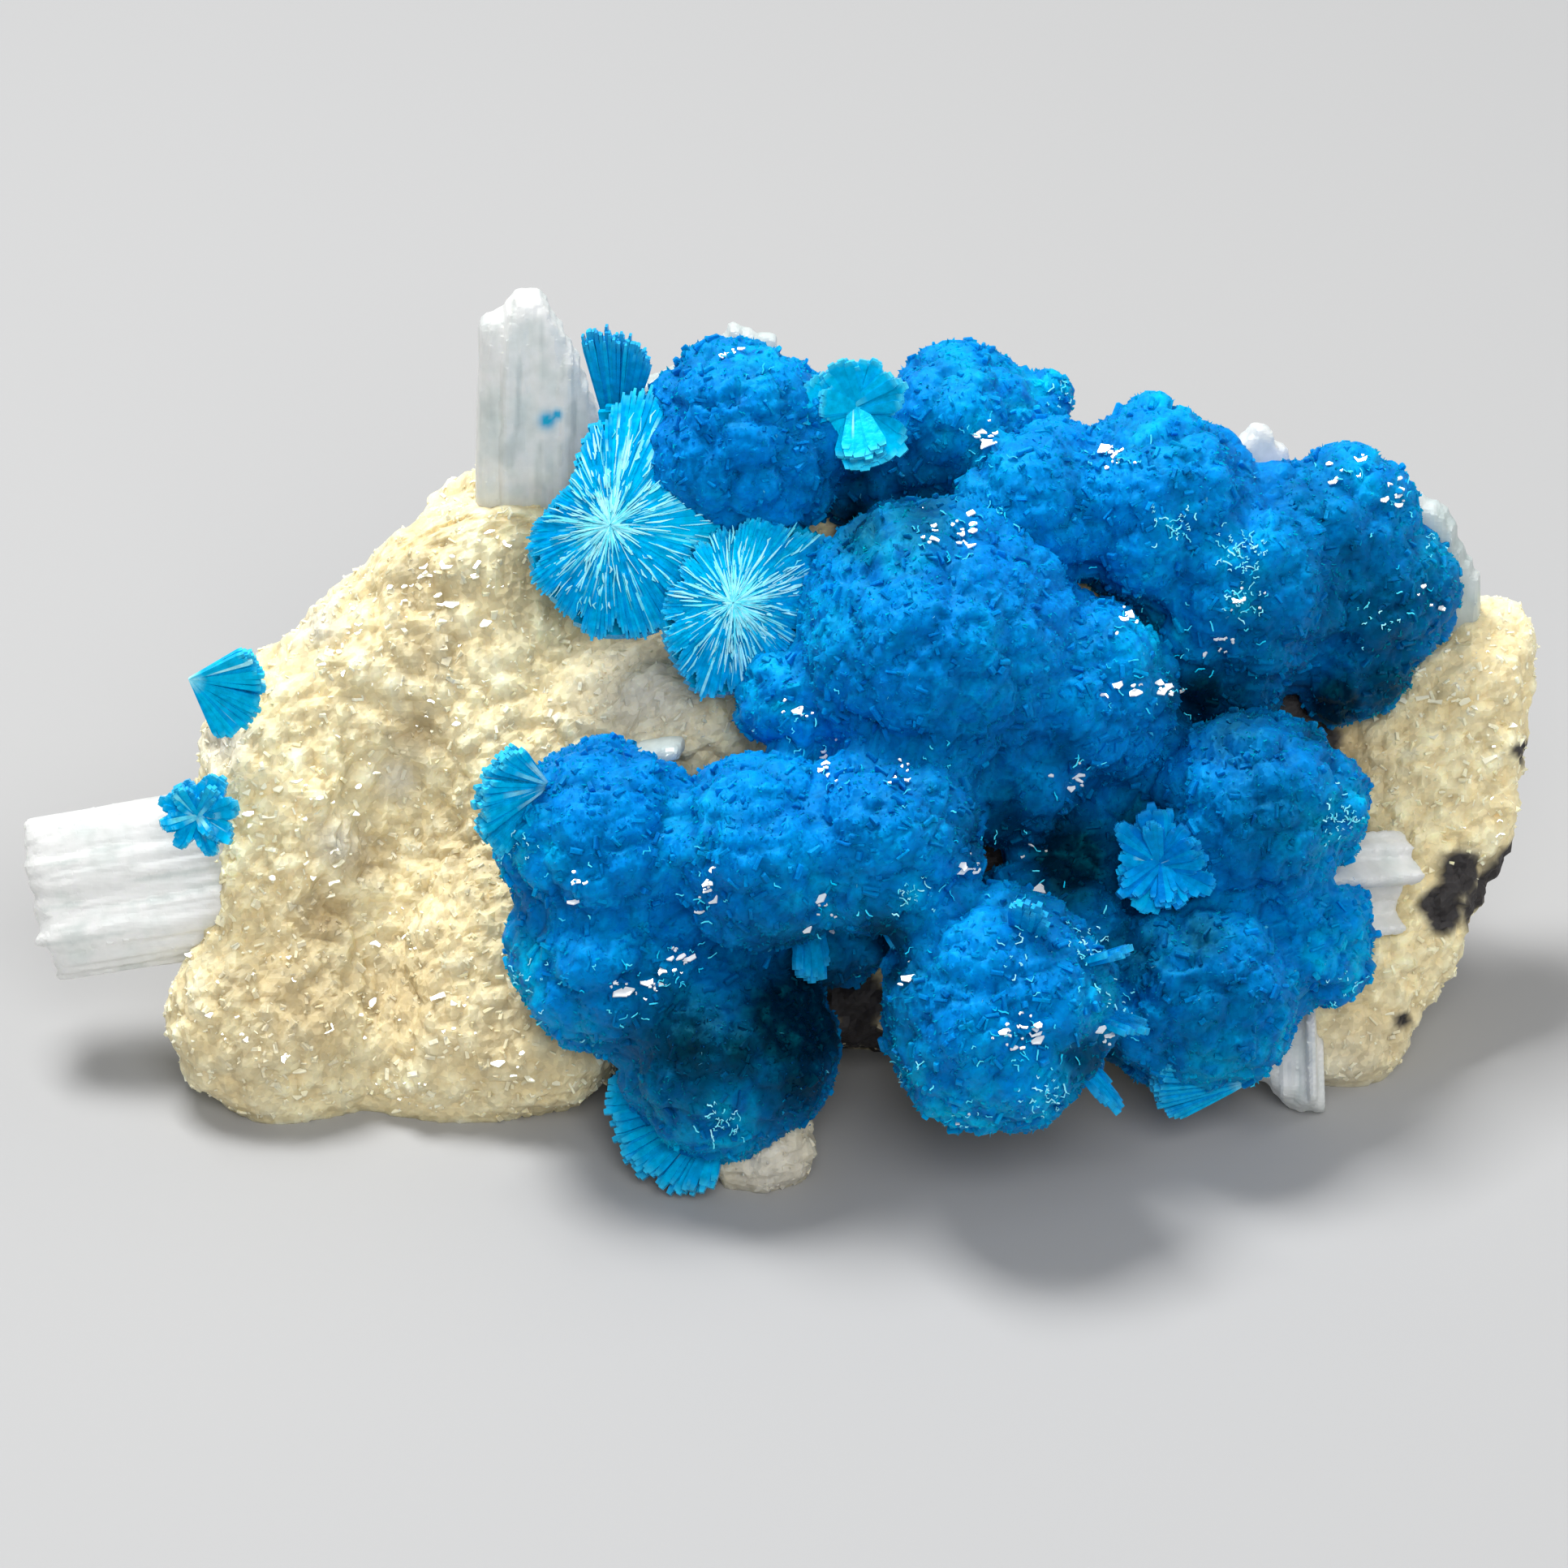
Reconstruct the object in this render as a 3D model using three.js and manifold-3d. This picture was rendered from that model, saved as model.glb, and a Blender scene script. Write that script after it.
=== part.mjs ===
// A cavansite specimen: blue balls, rosettes and fans of cavansite, with pale blades of stilbite, grown
// on a wedge of rock that a cream druse coats. Millimetres, +Z up, the front towards -Y. The origin is
// on the flat underside, below the middle of the specimen.

import * as THREE from 'three';
import { mergeVertices } from 'three/addons/utils/BufferGeometryUtils.js';
import Module from 'manifold-3d';

const wasm = await Module();
wasm.setup();

// Driving dimensions
const GAP = 0.3; // air between one crystal group and its neighbour
const LEAN = THREE.MathUtils.degToRad(40); // how far the face of the rock leans back from upright
const ROCK_LOW = [-34, -18, -6]; // the space that the rock lies in
const ROCK_HIGH = [42, 25, 32];
const ROCK_BOTTOM = -2.4; // where the skin closes, before the flat cut at zero
const ROCK_FACET = 2.9;
const ROCK_BLEND = 2.4; // how softly one lump of rock runs into the next
const KNOB_HEIGHT = 0.9; // rounded knobs of the druse
const KNOB_WIDTH = 5;
const GRAIN_HEIGHT = 0.3; // single druse crystals, as facets
const FRONT_FACET = 2.15;
const REAR_FACET = 2.7;
const BALL_BLEND = 0.4;
const LOBE_HEIGHT = 0.55; // low lobes on the balls
const LOBE_WIDTH = 3.4;
const BALL_BOTTOM = 0.6; // no ball reaches lower than this
const BLADE_TIP = 0.26; // how far cavansite blades stand out of a ball, or lie back in it

// Lumps of rock: the middle, and half sizes along X, up the leaning face and through it
const ROCK_LUMPS = [
  { at: [3, 9.5, 10], half: [25, 15, 5] }, // the slab
  { at: [2, 11.5, 8], half: [25, 9, 8] }, // its thick back
  { at: [9, 4.5, 11.5], half: [17, 13, 6] }, // the bulge that carries the balls
  { at: [10, 11, 20], half: [17, 6, 5] },
  { at: [-12.5, 12, 20], half: [5, 5, 5] }, // the shoulder under the tall blade
  { at: [-17, 9, 16.4], half: [5.2, 5.2, 4.5] },
  { at: [-22, 6, 14], half: [4.6, 5, 4.5] }, // the left flank
  { at: [-24.8, 2.6, 12.2], half: [4.2, 5.8, 4.4] },
  { at: [-20, 4.6, 7.6], half: [6, 8, 4.4] }, // the floor of the valley
  { at: [-25.6, -3.2, 4], half: [4.6, 4.2, 4.4] }, // the left foot
  { at: [-20, -2.2, 1], half: [5, 4.6, 3.4] }, // the low saddle beside it
  { at: [-13.5, -2, 4.6], half: [6, 6, 5] },
  { at: [-12, 5, 12.5], half: [6, 6, 5] },
  { at: [-5.6, 2, 17.6], half: [4.4, 3, 3] }, // the tongue between the rosettes and the balls
  { at: [-1.2, -10.4, 1.8], half: [3.2, 4.4, 3.2] }, // the toe under the lowest ball
  { at: [34, 8.4, 15.5], half: [3.3, 3.4, 3.2] }, // the right horn
  { at: [32, 5.4, 11.4], half: [4.6, 5, 3.8] },
  { at: [30.6, 1.4, 6], half: [3.8, 4.6, 3.6] },
  { at: [27.4, -1.8, 2.6], half: [3.8, 3.6, 3.6] }, // the right foot
];

// Balls of cavansite that have grown into each other: the middle and the radius
const FRONT_BALLS = [
  { at: [-8.7, -5.5, 15], radius: 5.3 }, // left, upper
  { at: [-8.3, -7.5, 10.1], radius: 5.4 }, // left, lower
  { at: [-2.8, -9.8, 6], radius: 5.5 }, // lowest, over the toe
  { at: [-0.9, -7.3, 15.8], radius: 4.9 }, // middle, two lobes
  { at: [4.9, -7.3, 16.6], radius: 4.9 },
  { at: [2.2, -4.6, 10.6], radius: 4 }, // in their shade
  { at: [7.4, 0.5, 22.4], radius: 7.4 }, // the great dome
  { at: [1, -0.6, 20.3], radius: 3.4 }, // its left foot
  { at: [14.1, 0, 20.4], radius: 5 }, // its right lobe
  { at: [11, -1, 17.2], radius: 4.8 }, // below the dome
  { at: [16.5, 1, 15.8], radius: 3.6 },
  { at: [15, -1.6, 12.4], radius: 3.8 }, // the back of the dark hollow
  { at: [10.2, -12, 10], radius: 6 }, // the foremost ball
  { at: [12.5, -6, 9.4], radius: 4.6 }, // what carries it
  { at: [20.2, -7, 7.6], radius: 5.3 }, // lower right
  { at: [25, -4.6, 9], radius: 3.9 },
  { at: [17.8, -7.6, 4.2], radius: 2.9 },
  { at: [22.8, -2.4, 14.8], radius: 5.1 }, // right
  { at: [26, -2.4, 14.9], radius: 2.9 },
];
const STARBURST = { at: [18.1, -6, 14.6], facing: [-0.1, -0.85, 0.5], reach: 2.6, petals: 8 };

const REAR_RIGHT_BALLS = [
  { at: [12.1, 6, 27], radius: 4.5 }, // left lobe
  { at: [18.1, 6.6, 26.6], radius: 5.2 }, // middle lobe
  { at: [22.3, 5.6, 23], radius: 5.4 }, // right lobe
  { at: [21.6, 5, 19.6], radius: 4.2 },
  { at: [17.6, 8.4, 29.8], radius: 2.1 }, // the bump on top
  { at: [27.9, 8, 25], radius: 4 }, // the end ball, from top to bottom
  { at: [28.7, 7, 21.2], radius: 4.3 },
  { at: [27.9, 5.6, 18.7], radius: 3.5 },
];

const REAR_LEFT_BALLS = [
  { at: [-2.1, 7.8, 29.6], radius: 5.2 },
  { at: [8.5, 10, 29.2], radius: 4.4 },
  { at: [12.8, 11.5, 29.6], radius: 2 }, // the knob on its right
  { at: [3.6, 10.2, 27], radius: 3.4 }, // joins the two in the shade
];

// Large single blades that stand out of the balls: from, to, width and thickness
const FRONT_BLADES = [
  { from: [11, -11, 11], to: [17, -14.6, 10.8], width: 1.9, thick: 0.8 },
  { from: [11, -11, 11], to: [16.2, -13.4, 14.6], width: 2, thick: 0.8 },
  { from: [11, -11, 11], to: [11.6, -13.6, 17.4], width: 2.2, thick: 0.9 },
  { from: [11, -11, 11], to: [15.8, -15.4, 6.8], width: 1.8, thick: 0.8 },
  { from: [1, -6, 15], to: [1.4, -9.4, 10], width: 2.4, thick: 0.9 },
  { from: [3, -6, 15], to: [6.2, -10.4, 12.4], width: 2.2, thick: 0.9 },
];

// Plates that fan out from a point: where they start, the two edges of the fan, and the thickness
const FRONT_FANS = [
  { apex: [-2.6, -10.5, 3.8], edges: [[-6.3, 1.5, 0], [-0.8, -4.1, -3.2]], thick: 1.2 },
  { apex: [22.6, -10, 4.2], edges: [[-4.4, -1, 2.3], [-4, -0.5, -1.8]], thick: 1.2 },
  { apex: [-11.2, -5.8, 18.8], edges: [[-1.4, -0.7, 2.9], [-2.7, -1.9, -3]], thick: 1.2 },
];
const TOP_FAN = { apex: [-8.2, 9.4, 27.4], edges: [[-1.3, 0.3, 7.6], [1.7, -0.2, 6.4]], thick: 1.6 };
const LEFT_FAN = { apex: [-27.2, 1.2, 17], edges: [[-1.2, 0, 3.5], [2.3, 0.5, 4]], thick: 1.8 };

// Open rosettes: the middle, the way they face, and their reach at even angles from +X round to +Z
const LARGE_ROSETTE = {
  at: [-8.3, 3.4, 27.6],
  facing: [-0.1, -0.82, 0.57],
  reach: [5.2, 7.4, 7.2, 5.6, 4.6, 3.4, 4.4, 5, 5.8, 6.2, 5.6, 4.8],
};
const SMALL_ROSETTE = {
  at: [-2.5, 0.9, 24.8],
  facing: [0.1, -0.84, 0.54],
  reach: [4.6, 5.6, 5, 4.5, 4, 3.6, 3.4, 3.6, 4.2, 5.1, 4.5, 4.2],
};

// Sprays of petals: where they meet, the way they face, their length and number
const TOP_SPRAY = { at: [3.8, 7, 31.6], facing: [0, -0.8, 0.6], reach: 2.9, petals: 6 };
const LEFT_SPRAY = { at: [-28.3, -2.2, 14.6], facing: [-0.2, -0.85, 0.5], reach: 2.2, petals: 7 };

// Stilbite blades: the root, the way they point, the way their width runs, their sizes, and how far
// each lath reaches, as a share of the length
const STILBITES = {
  stilbite_left_block: {
    at: [-24, -0.4, 10.6], along: [-1, 0, -0.2], across: [-0.06, 0.46, 0.88],
    length: 13.2, width: 8, thick: 4.2, ends: [0.9, 0.97, 0.96, 1, 0.985, 1, 0.985],
  },
  stilbite_tall_blade: {
    at: [-12, 10, 22.3], along: [-0.03, 0.06, 1], across: [1, 0.1, 0.03],
    length: 13.8, width: 6.4, thick: 2.8, ends: [0.85, 0.93, 1, 0.98, 0.9, 0.77, 0.58],
  },
  stilbite_rear_blade: {
    at: [-4.2, 12.4, 20.7], along: [0.03, 0.1, 1], across: [1, 0.15, 0],
    length: 11.4, width: 7, thick: 2, ends: [0.76, 0.84, 0.94, 1, 0.97],
  },
  stilbite_rear_chip: {
    at: [23.5, 10.6, 21.2], along: [0, 0.1, 1], across: [1, 0.3, 0],
    length: 7.4, width: 2.6, thick: 1.8, ends: [0.9, 1, 0.8],
  },
  stilbite_right_blade: {
    at: [32.3, 9, 14.7], along: [-0.06, 0, 1], across: [1, -0.3, 0.05],
    length: 11, width: 4.6, thick: 1.8, ends: [1, 1, 0.97, 0.86, 0.62],
  },
  stilbite_right_sheaf: {
    at: [30.2, -0.6, 9.2], along: [-0.8, -0.5, 0.3], across: [0.3, -0.1, 1],
    length: 7.6, width: 4.6, thick: 2.2, ends: [0.62, 0.7, 0.72, 0.86, 1],
  },
  stilbite_right_tooth: {
    at: [24.9, -3.4, 3.9], along: [0, -0.66, -0.5], across: [1, 0.05, 0.1],
    length: 5.4, width: 3.4, thick: 2.4, ends: [0.72, 0.95, 1],
  },
  stilbite_front_chip: {
    at: [-6, -0.6, 17.4], along: [-0.1, -0.9, 0.4], across: [1, 0, 0.2],
    length: 3.6, width: 2.4, thick: 1, ends: [1, 0.8],
  },
};

// Seeded random numbers from 0 to 1
function randomFrom(seed) {
  let state = Math.round(Math.abs(seed) * 7919) + 12345;
  return () => {
    state = (Math.imul(state, 1664525) + 1013904223) >>> 0;
    return state / 4294967296;
  };
}

// A fixed random number from -1 to 1 for each whole point of space
function lattice(x, y, z) {
  let h = Math.imul(x, 374761393) + Math.imul(y, 668265263) + Math.imul(z, 1442695041);
  h = Math.imul(h ^ (h >>> 13), 1274126177);
  return (((h ^ (h >>> 16)) >>> 0) / 4294967295) * 2 - 1;
}

// Smooth noise from -1 to 1
function noise(x, y, z) {
  const [i, j, k] = [Math.floor(x), Math.floor(y), Math.floor(z)];
  const ease = (t) => t * t * (3 - 2 * t);
  const [u, v, w] = [ease(x - i), ease(y - j), ease(z - k)];
  const mix = THREE.MathUtils.lerp;
  const row = (b, c) => mix(lattice(i, j + b, k + c), lattice(i + 1, j + b, k + c), u);
  return mix(mix(row(0, 0), row(1, 0), v), mix(row(0, 1), row(1, 1), v), w);
}

// Solids from three.js geometry, and back

function solidOf(geometry) {
  const bare = geometry.clone();
  bare.deleteAttribute('normal');
  bare.deleteAttribute('uv');
  const merged = mergeVertices(bare, 1e-4);
  return new wasm.Manifold(
    new wasm.Mesh({
      numProp: 3,
      vertProperties: merged.attributes.position.array,
      triVerts: new Uint32Array(merged.index.array),
    }),
  );
}

function joined(solids) {
  return solids.reduce((sum, next) => sum.add(next));
}

// What is left of a solid after its neighbours, and of that the largest piece
function clearOf(solid, neighbours) {
  const left = neighbours.reduce((rest, next) => rest.subtract(next), solid);
  return left.decompose().reduce((a, b) => (a.volume() > b.volume() ? a : b));
}

function meshOf(name, solid, material) {
  const data = solid.getMesh();
  const geometry = new THREE.BufferGeometry();
  geometry.setAttribute('position', new THREE.BufferAttribute(new Float32Array(data.vertProperties), 3));
  geometry.setIndex(new THREE.BufferAttribute(new Uint32Array(data.triVerts), 1));
  geometry.computeVertexNormals();
  const mesh = new THREE.Mesh(geometry, material);
  mesh.name = name;
  return mesh;
}

// Closed skins round a shape that is given as a distance

// Joins two distances, with a fillet about as wide as the blend
function blended(a, b, blend) {
  const near = Math.max(blend - Math.abs(a - b), 0) / blend;
  return Math.min(a, b) - (near * near * blend) / 4;
}

// Where the skin crosses one cell, whose corners hold the distances: the mean of its edge crossings
function crossingOf(corners) {
  const sum = [0, 0, 0];
  let crossings = 0;
  for (let a = 0; a < 8; a += 1) {
    for (let axis = 0; axis < 3; axis += 1) {
      const b = a | (1 << axis);
      if (b !== a && corners[a] < 0 !== corners[b] < 0) {
        const share = corners[a] / (corners[a] - corners[b]);
        for (let k = 0; k < 3; k += 1) sum[k] += (a >> k) & 1;
        sum[axis] += share;
        crossings += 1;
      }
    }
  }
  return crossings ? sum.map((value) => value / crossings) : null;
}

// The eight grid points at the corners of a cell
function cornersOf(cell, stride) {
  const [u, v, w] = stride;
  const low = [cell, cell + u, cell + v, cell + u + v];
  return [...low, ...low.map((at) => at + w)];
}

// Where the inside only touches itself, along an edge or at a point, brings the nearest outside corner
// in. Returns whether it did.
function closePinch(distance, cell, stride, depth) {
  const touching = (corners) => {
    const inside = corners.map((at) => distance[at] < 0);
    const total = inside.filter(Boolean).length;
    const last = corners.length - 1;
    const facing = corners.some((at, i) => inside[i] === inside[last - i] && inside[i] === (total === 2));
    return (total === 2 || total === last - 1) && facing;
  };
  const corners = cornersOf(cell, stride);
  const faces = [[0, 1, 2, 3], [0, 2, 4, 6], [0, 1, 4, 5]].map((face) => face.map((i) => corners[i]));
  const pinched = [...faces, corners].find(touching);
  if (!pinched) return false;
  const outside = pinched.filter((at) => distance[at] >= 0);
  distance[outside.reduce((a, b) => (distance[a] < distance[b] ? a : b))] = -depth;
  return true;
}

// A mesh of even facets, one vertex to each cell that the surface of outside(x, y, z) passes through
function skinOf(outside, low, high, facet) {
  const count = low.map((value, k) => Math.ceil((high[k] - value) / facet) + 1);
  const stride = [1, count[0], count[0] * count[1]];
  const place = (i, j, k) => [low[0] + i * facet, low[1] + j * facet, low[2] + k * facet];
  const distance = new Float32Array(count[0] * count[1] * count[2]);
  const vertexAt = new Int32Array(distance.length).fill(-1);
  const cells = [];
  for (let k = 0; k < count[2]; k += 1) {
    for (let j = 0; j < count[1]; j += 1) {
      for (let i = 0; i < count[0]; i += 1) {
        cells.push([i, j, k]);
        distance[cells.length - 1] = outside(...place(i, j, k));
      }
    }
  }
  const isWhole = (cell) => cells[cell].every((value, k) => value < count[k] - 1);
  let pinched = true;
  while (pinched) {
    pinched = false;
    cells.forEach((at, cell) => {
      if (isWhole(cell) && closePinch(distance, cell, stride, 0.1 * facet)) pinched = true;
    });
  }
  const position = [];
  cells.forEach(([i, j, k], cell) => {
    if (!isWhole(cell)) return;
    const crossing = crossingOf(cornersOf(cell, stride).map((at) => distance[at]));
    if (!crossing) return;
    vertexAt[cell] = position.length / 3;
    position.push(...place(i + crossing[0], j + crossing[1], k + crossing[2]));
  });
  const index = [];
  cells.forEach(([i, j, k], cell) => {
    if (i === 0 || j === 0 || k === 0) return;
    for (let axis = 0; axis < 3; axis += 1) {
      const [u, v] = [stride[(axis + 1) % 3], stride[(axis + 2) % 3]];
      const next = cell + stride[axis];
      if (next >= distance.length || distance[cell] < 0 === distance[next] < 0) continue;
      const ring = [cell, cell - u, cell - u - v, cell - v].map((at) => vertexAt[at]);
      if (distance[cell] >= 0) ring.reverse();
      index.push(ring[0], ring[1], ring[2], ring[0], ring[2], ring[3]);
    }
  });
  const geometry = new THREE.BufferGeometry();
  geometry.setAttribute('position', new THREE.Float32BufferAttribute(position, 3));
  geometry.setIndex(index);
  return geometry;
}

// Moves each vertex along its normal by height(chance), where chance is random from 0 to 1
function roughened(geometry, seed, height) {
  geometry.computeVertexNormals();
  const { position, normal } = geometry.attributes;
  const random = randomFrom(seed);
  const [vertex, away] = [new THREE.Vector3(), new THREE.Vector3()];
  for (let i = 0; i < position.count; i += 1) {
    vertex.fromBufferAttribute(position, i);
    away.fromBufferAttribute(normal, i);
    vertex.addScaledVector(away, height(random()));
    position.setXYZ(i, vertex.x, vertex.y, vertex.z);
  }
  return geometry;
}

// The rock

// Roughly how far a point is outside a lump with flattened sides that leans with the face
function outsideLump(x, y, z, { at, half }) {
  const [dx, dy, dz] = [x - at[0], y - at[1], z - at[2]];
  const upFace = dy * Math.sin(LEAN) + dz * Math.cos(LEAN);
  const through = dz * Math.sin(LEAN) - dy * Math.cos(LEAN);
  const shares = [dx / half[0], upFace / half[1], through / half[2]];
  const near = Math.cbrt(shares.reduce((sum, share) => sum + Math.abs(share) ** 3, 0));
  return near < 1e-6 ? -Math.min(...half) : Math.hypot(dx, dy, dz) * (1 - 1 / near);
}

function outsideRock(x, y, z) {
  const lumps = ROCK_LUMPS.map((lump) => outsideLump(x, y, z, lump));
  const smooth = lumps.reduce((a, b) => blended(a, b, ROCK_BLEND));
  const knobbed = smooth - KNOB_HEIGHT * noise(x / KNOB_WIDTH, y / KNOB_WIDTH, z / KNOB_WIDTH);
  return Math.max(knobbed, ROCK_BOTTOM - z);
}

// The rock, cut flat underneath
function rock(grow) {
  const skin = skinOf(outsideRock, ROCK_LOW, ROCK_HIGH, ROCK_FACET);
  roughened(skin, 3, (chance) => GRAIN_HEIGHT * (2 * chance - 1) + grow);
  const ground = new THREE.BoxGeometry(120, 120, 40).translate(0, 0, -20 - grow);
  return solidOf(skin).subtract(solidOf(ground));
}

// Cavansite

// Balls grown into each other, lobed, and rough with the tips of their blades
function balls(list, facet, grow) {
  const outside = (x, y, z) => {
    const each = list.map(({ at, radius }) => Math.hypot(x - at[0], y - at[1], z - at[2]) - radius);
    const lobe = noise(x / LOBE_WIDTH, y / LOBE_WIDTH, z / LOBE_WIDTH);
    const lobed = each.reduce((a, b) => blended(a, b, BALL_BLEND)) - LOBE_HEIGHT * lobe;
    return Math.max(lobed, BALL_BOTTOM - z);
  };
  const reach = 2 * facet;
  const low = [0, 1, 2].map((k) => Math.min(...list.map(({ at, radius }) => at[k] - radius)) - reach);
  const high = [0, 1, 2].map((k) => Math.max(...list.map(({ at, radius }) => at[k] + radius)) + reach);
  const skin = skinOf(outside, low, high, facet);
  return solidOf(roughened(skin, list.length, (chance) => BLADE_TIP * (2 * chance - 1) + grow));
}

// A four-sided blade, widest near its pointed tip
function blade({ from, to, width, thick }, grow) {
  const [root, tip] = [new THREE.Vector3(...from), new THREE.Vector3(...to)];
  const length = root.distanceTo(tip) + grow;
  const profile = [
    [0, -grow],
    [0.3, -grow],
    [0.5, length * 0.75],
    [0, length],
  ].map(([radius, height]) => new THREE.Vector2(radius, height));
  const geometry = new THREE.LatheGeometry(profile, 4);
  geometry.scale(width + 2 * grow, 1, thick + 2 * grow);
  const turn = new THREE.Quaternion();
  turn.setFromUnitVectors(new THREE.Vector3(0, 1, 0), tip.sub(root).normalize());
  return solidOf(geometry.applyQuaternion(turn).translate(...from));
}

// Collects triangles into one geometry
function geometryOf(addFaces) {
  const position = [];
  addFaces((a, b, c) => position.push(...a, ...b, ...c));
  const geometry = new THREE.BufferGeometry();
  geometry.setAttribute('position', new THREE.Float32BufferAttribute(position, 3));
  return geometry;
}

// A ribbed plate that fans out from its apex, thickest in the middle
function fan({ apex, edges, thick }, grow) {
  const ribs = 7;
  const [first, last] = edges.map((edge) => new THREE.Vector3(...edge));
  const normal = new THREE.Vector3().crossVectors(first, last).normalize();
  const random = randomFrom(apex[0] + apex[2]);
  const start = new THREE.Vector3(...apex);
  const inward = new THREE.Vector3().addVectors(first, last).normalize();
  const root = (side) => start.clone().addScaledVector(inward, -grow).addScaledVector(normal, side);
  const half = thick / 2 + grow;
  const rim = Array.from({ length: ribs + 1 }, (unused, i) => {
    const share = i / ribs;
    const way = first.clone().multiplyScalar(1 - share).addScaledVector(last, share).normalize();
    const length = THREE.MathUtils.lerp(first.length(), last.length(), share);
    return start.clone().addScaledVector(way, length * (0.9 + 0.2 * random()) + grow);
  });
  const side = (i, sign) => rim[i].clone().addScaledVector(normal, sign * half * (i % 2 ? 0.7 : 0.45));
  const [top, bottom] = [root(half), root(-half)];
  const faces = (face) => {
    for (let i = 0; i < ribs; i += 1) {
      face(top, side(i, 1), side(i + 1, 1));
      face(bottom, side(i + 1, -1), side(i, -1));
      face(side(i, 1), side(i, -1), side(i + 1, -1));
      face(side(i, 1), side(i + 1, -1), side(i + 1, 1));
    }
    face(top, bottom, side(0, -1));
    face(top, side(0, -1), side(0, 1));
    face(bottom, top, side(ribs, 1));
    face(bottom, side(ribs, 1), side(ribs, -1));
  };
  return solidOf(geometryOf(faces));
}

// Turns local coordinates, with Z along facing, into the specimen's
function frameOf({ at, facing }) {
  const turn = new THREE.Quaternion();
  turn.setFromUnitVectors(new THREE.Vector3(0, 0, 1), new THREE.Vector3(...facing).normalize());
  return new THREE.Matrix4().compose(new THREE.Vector3(...at), turn, new THREE.Vector3(1, 1, 1));
}

// An open rosette: a low dome with ribs from its centre and a ragged rim, on a short cone
function rosette(spec, grow) {
  const random = randomFrom(spec.at[2]);
  const count = spec.reach.length * 3;
  const middle = spec.reach.reduce((sum, value) => sum + value) / spec.reach.length;
  const ribs = Array.from({ length: count }, (unused, i) => {
    const [before, share] = [Math.floor(i / 3), (i % 3) / 3];
    const after = (before + 1) % spec.reach.length;
    const smooth = THREE.MathUtils.lerp(spec.reach[before], spec.reach[after], share);
    return smooth * (i % 2 ? 0.9 : 1) * (0.95 + 0.1 * random());
  });
  const rings = [0, 0.5, 1];
  const corner = (ring, i) => {
    const rib = i % count;
    const angle = (rib / count) * 2 * Math.PI;
    const out = ribs[rib] * rings[ring] + (ring ? grow : 0);
    const rise = ring ? (rib % 2 ? -0.2 : 0.2) : 0;
    const height = grow + rise - 0.16 * middle * rings[ring] ** 2;
    return [out * Math.cos(angle), out * Math.sin(angle), height];
  };
  const under = (i) => {
    const [x, y, z] = corner(2, i);
    return [x * 0.92, y * 0.92, z - 0.9 - 2 * grow];
  };
  const foot = [0, 0, -0.75 * middle - grow];
  const faces = (face) => {
    for (let i = 0; i < count; i += 1) {
      face(corner(0, i), corner(1, i), corner(1, i + 1));
      face(corner(1, i), corner(2, i), corner(2, i + 1));
      face(corner(1, i), corner(2, i + 1), corner(1, i + 1));
      face(corner(2, i), under(i), under(i + 1));
      face(corner(2, i), under(i + 1), corner(2, i + 1));
      face(under(i), foot, under(i + 1));
    }
  };
  return solidOf(geometryOf(faces).applyMatrix4(frameOf(spec)));
}

// A spray of petals round one point, with a stout one that stands up in the middle
function spray({ at, facing, reach, petals }, grow) {
  const frame = frameOf({ at, facing });
  const random = randomFrom(reach * 20 + petals);
  const point = (x, y, z) => new THREE.Vector3(x, y, z).applyMatrix4(frame).toArray();
  const round = Array.from({ length: petals }, (unused, i) => {
    const angle = ((i + 0.4 * random()) / petals) * 2 * Math.PI;
    const length = reach * (0.82 + 0.36 * random());
    const to = point(length * Math.cos(angle), length * Math.sin(angle), reach * (0.1 + 0.35 * random()));
    return blade({ from: at, to, width: 0.6 * reach, thick: 0.36 * reach }, grow);
  });
  const [from, to] = [point(0, 0, -0.6 * reach), point(0.1, 0.1, 0.7 * reach)];
  const heart = blade({ from, to, width: 0.9 * reach, thick: 0.8 * reach }, grow);
  return joined([heart, ...round]);
}

// Stilbite

// A blade of stilbite: laths side by side, each with its own length and thickness
function stilbite({ at, along, across, length, width, thick, ends }, grow) {
  const random = randomFrom(length + 5 * width);
  const alongAxis = new THREE.Vector3(...along).normalize();
  const normal = new THREE.Vector3(...across).cross(alongAxis).normalize();
  const acrossAxis = new THREE.Vector3().crossVectors(alongAxis, normal);
  const frame = new THREE.Matrix4().makeBasis(acrossAxis, alongAxis, normal).setPosition(...at);
  const laths = ends.map((end, i) => {
    const side = (i + 0.5) / ends.length - 0.5;
    const reach = length * end;
    const deep = thick * (0.8 + 0.25 * random()) * (1 - side * side) + 2 * grow;
    const box = new THREE.BoxGeometry((1.14 * width) / ends.length + 2 * grow, reach + grow, deep);
    box.translate(side * width, (reach + grow) / 2, 0.16 * thick * (random() - 0.5));
    const position = box.attributes.position;
    for (let v = 0; v < position.count; v += 1) {
      const outer = (position.getX(v) - side * width) * side > 0;
      if (position.getY(v) > 0.5 * reach) {
        position.setZ(v, position.getZ(v) * 0.6);
        if (outer) position.setY(v, position.getY(v) - 0.14 * thick);
      }
    }
    return solidOf(box.applyMatrix4(frame));
  });
  return joined(laths);
}

// Materials, with the colours of the specimen

const paint = (color, roughness) => new THREE.MeshStandardMaterial({ color, roughness, metalness: 0 });
const DRUSE = paint(0xcdbf9a, 0.65);
const CAVANSITE = paint(0x0a68b8, 0.4);
const CAVANSITE_PALE = paint(0x18a0d0, 0.4);
const STILBITE = paint(0xd9dde0, 0.35);

// The specimen: each group of crystals is cut clear of what grew before it

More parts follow.
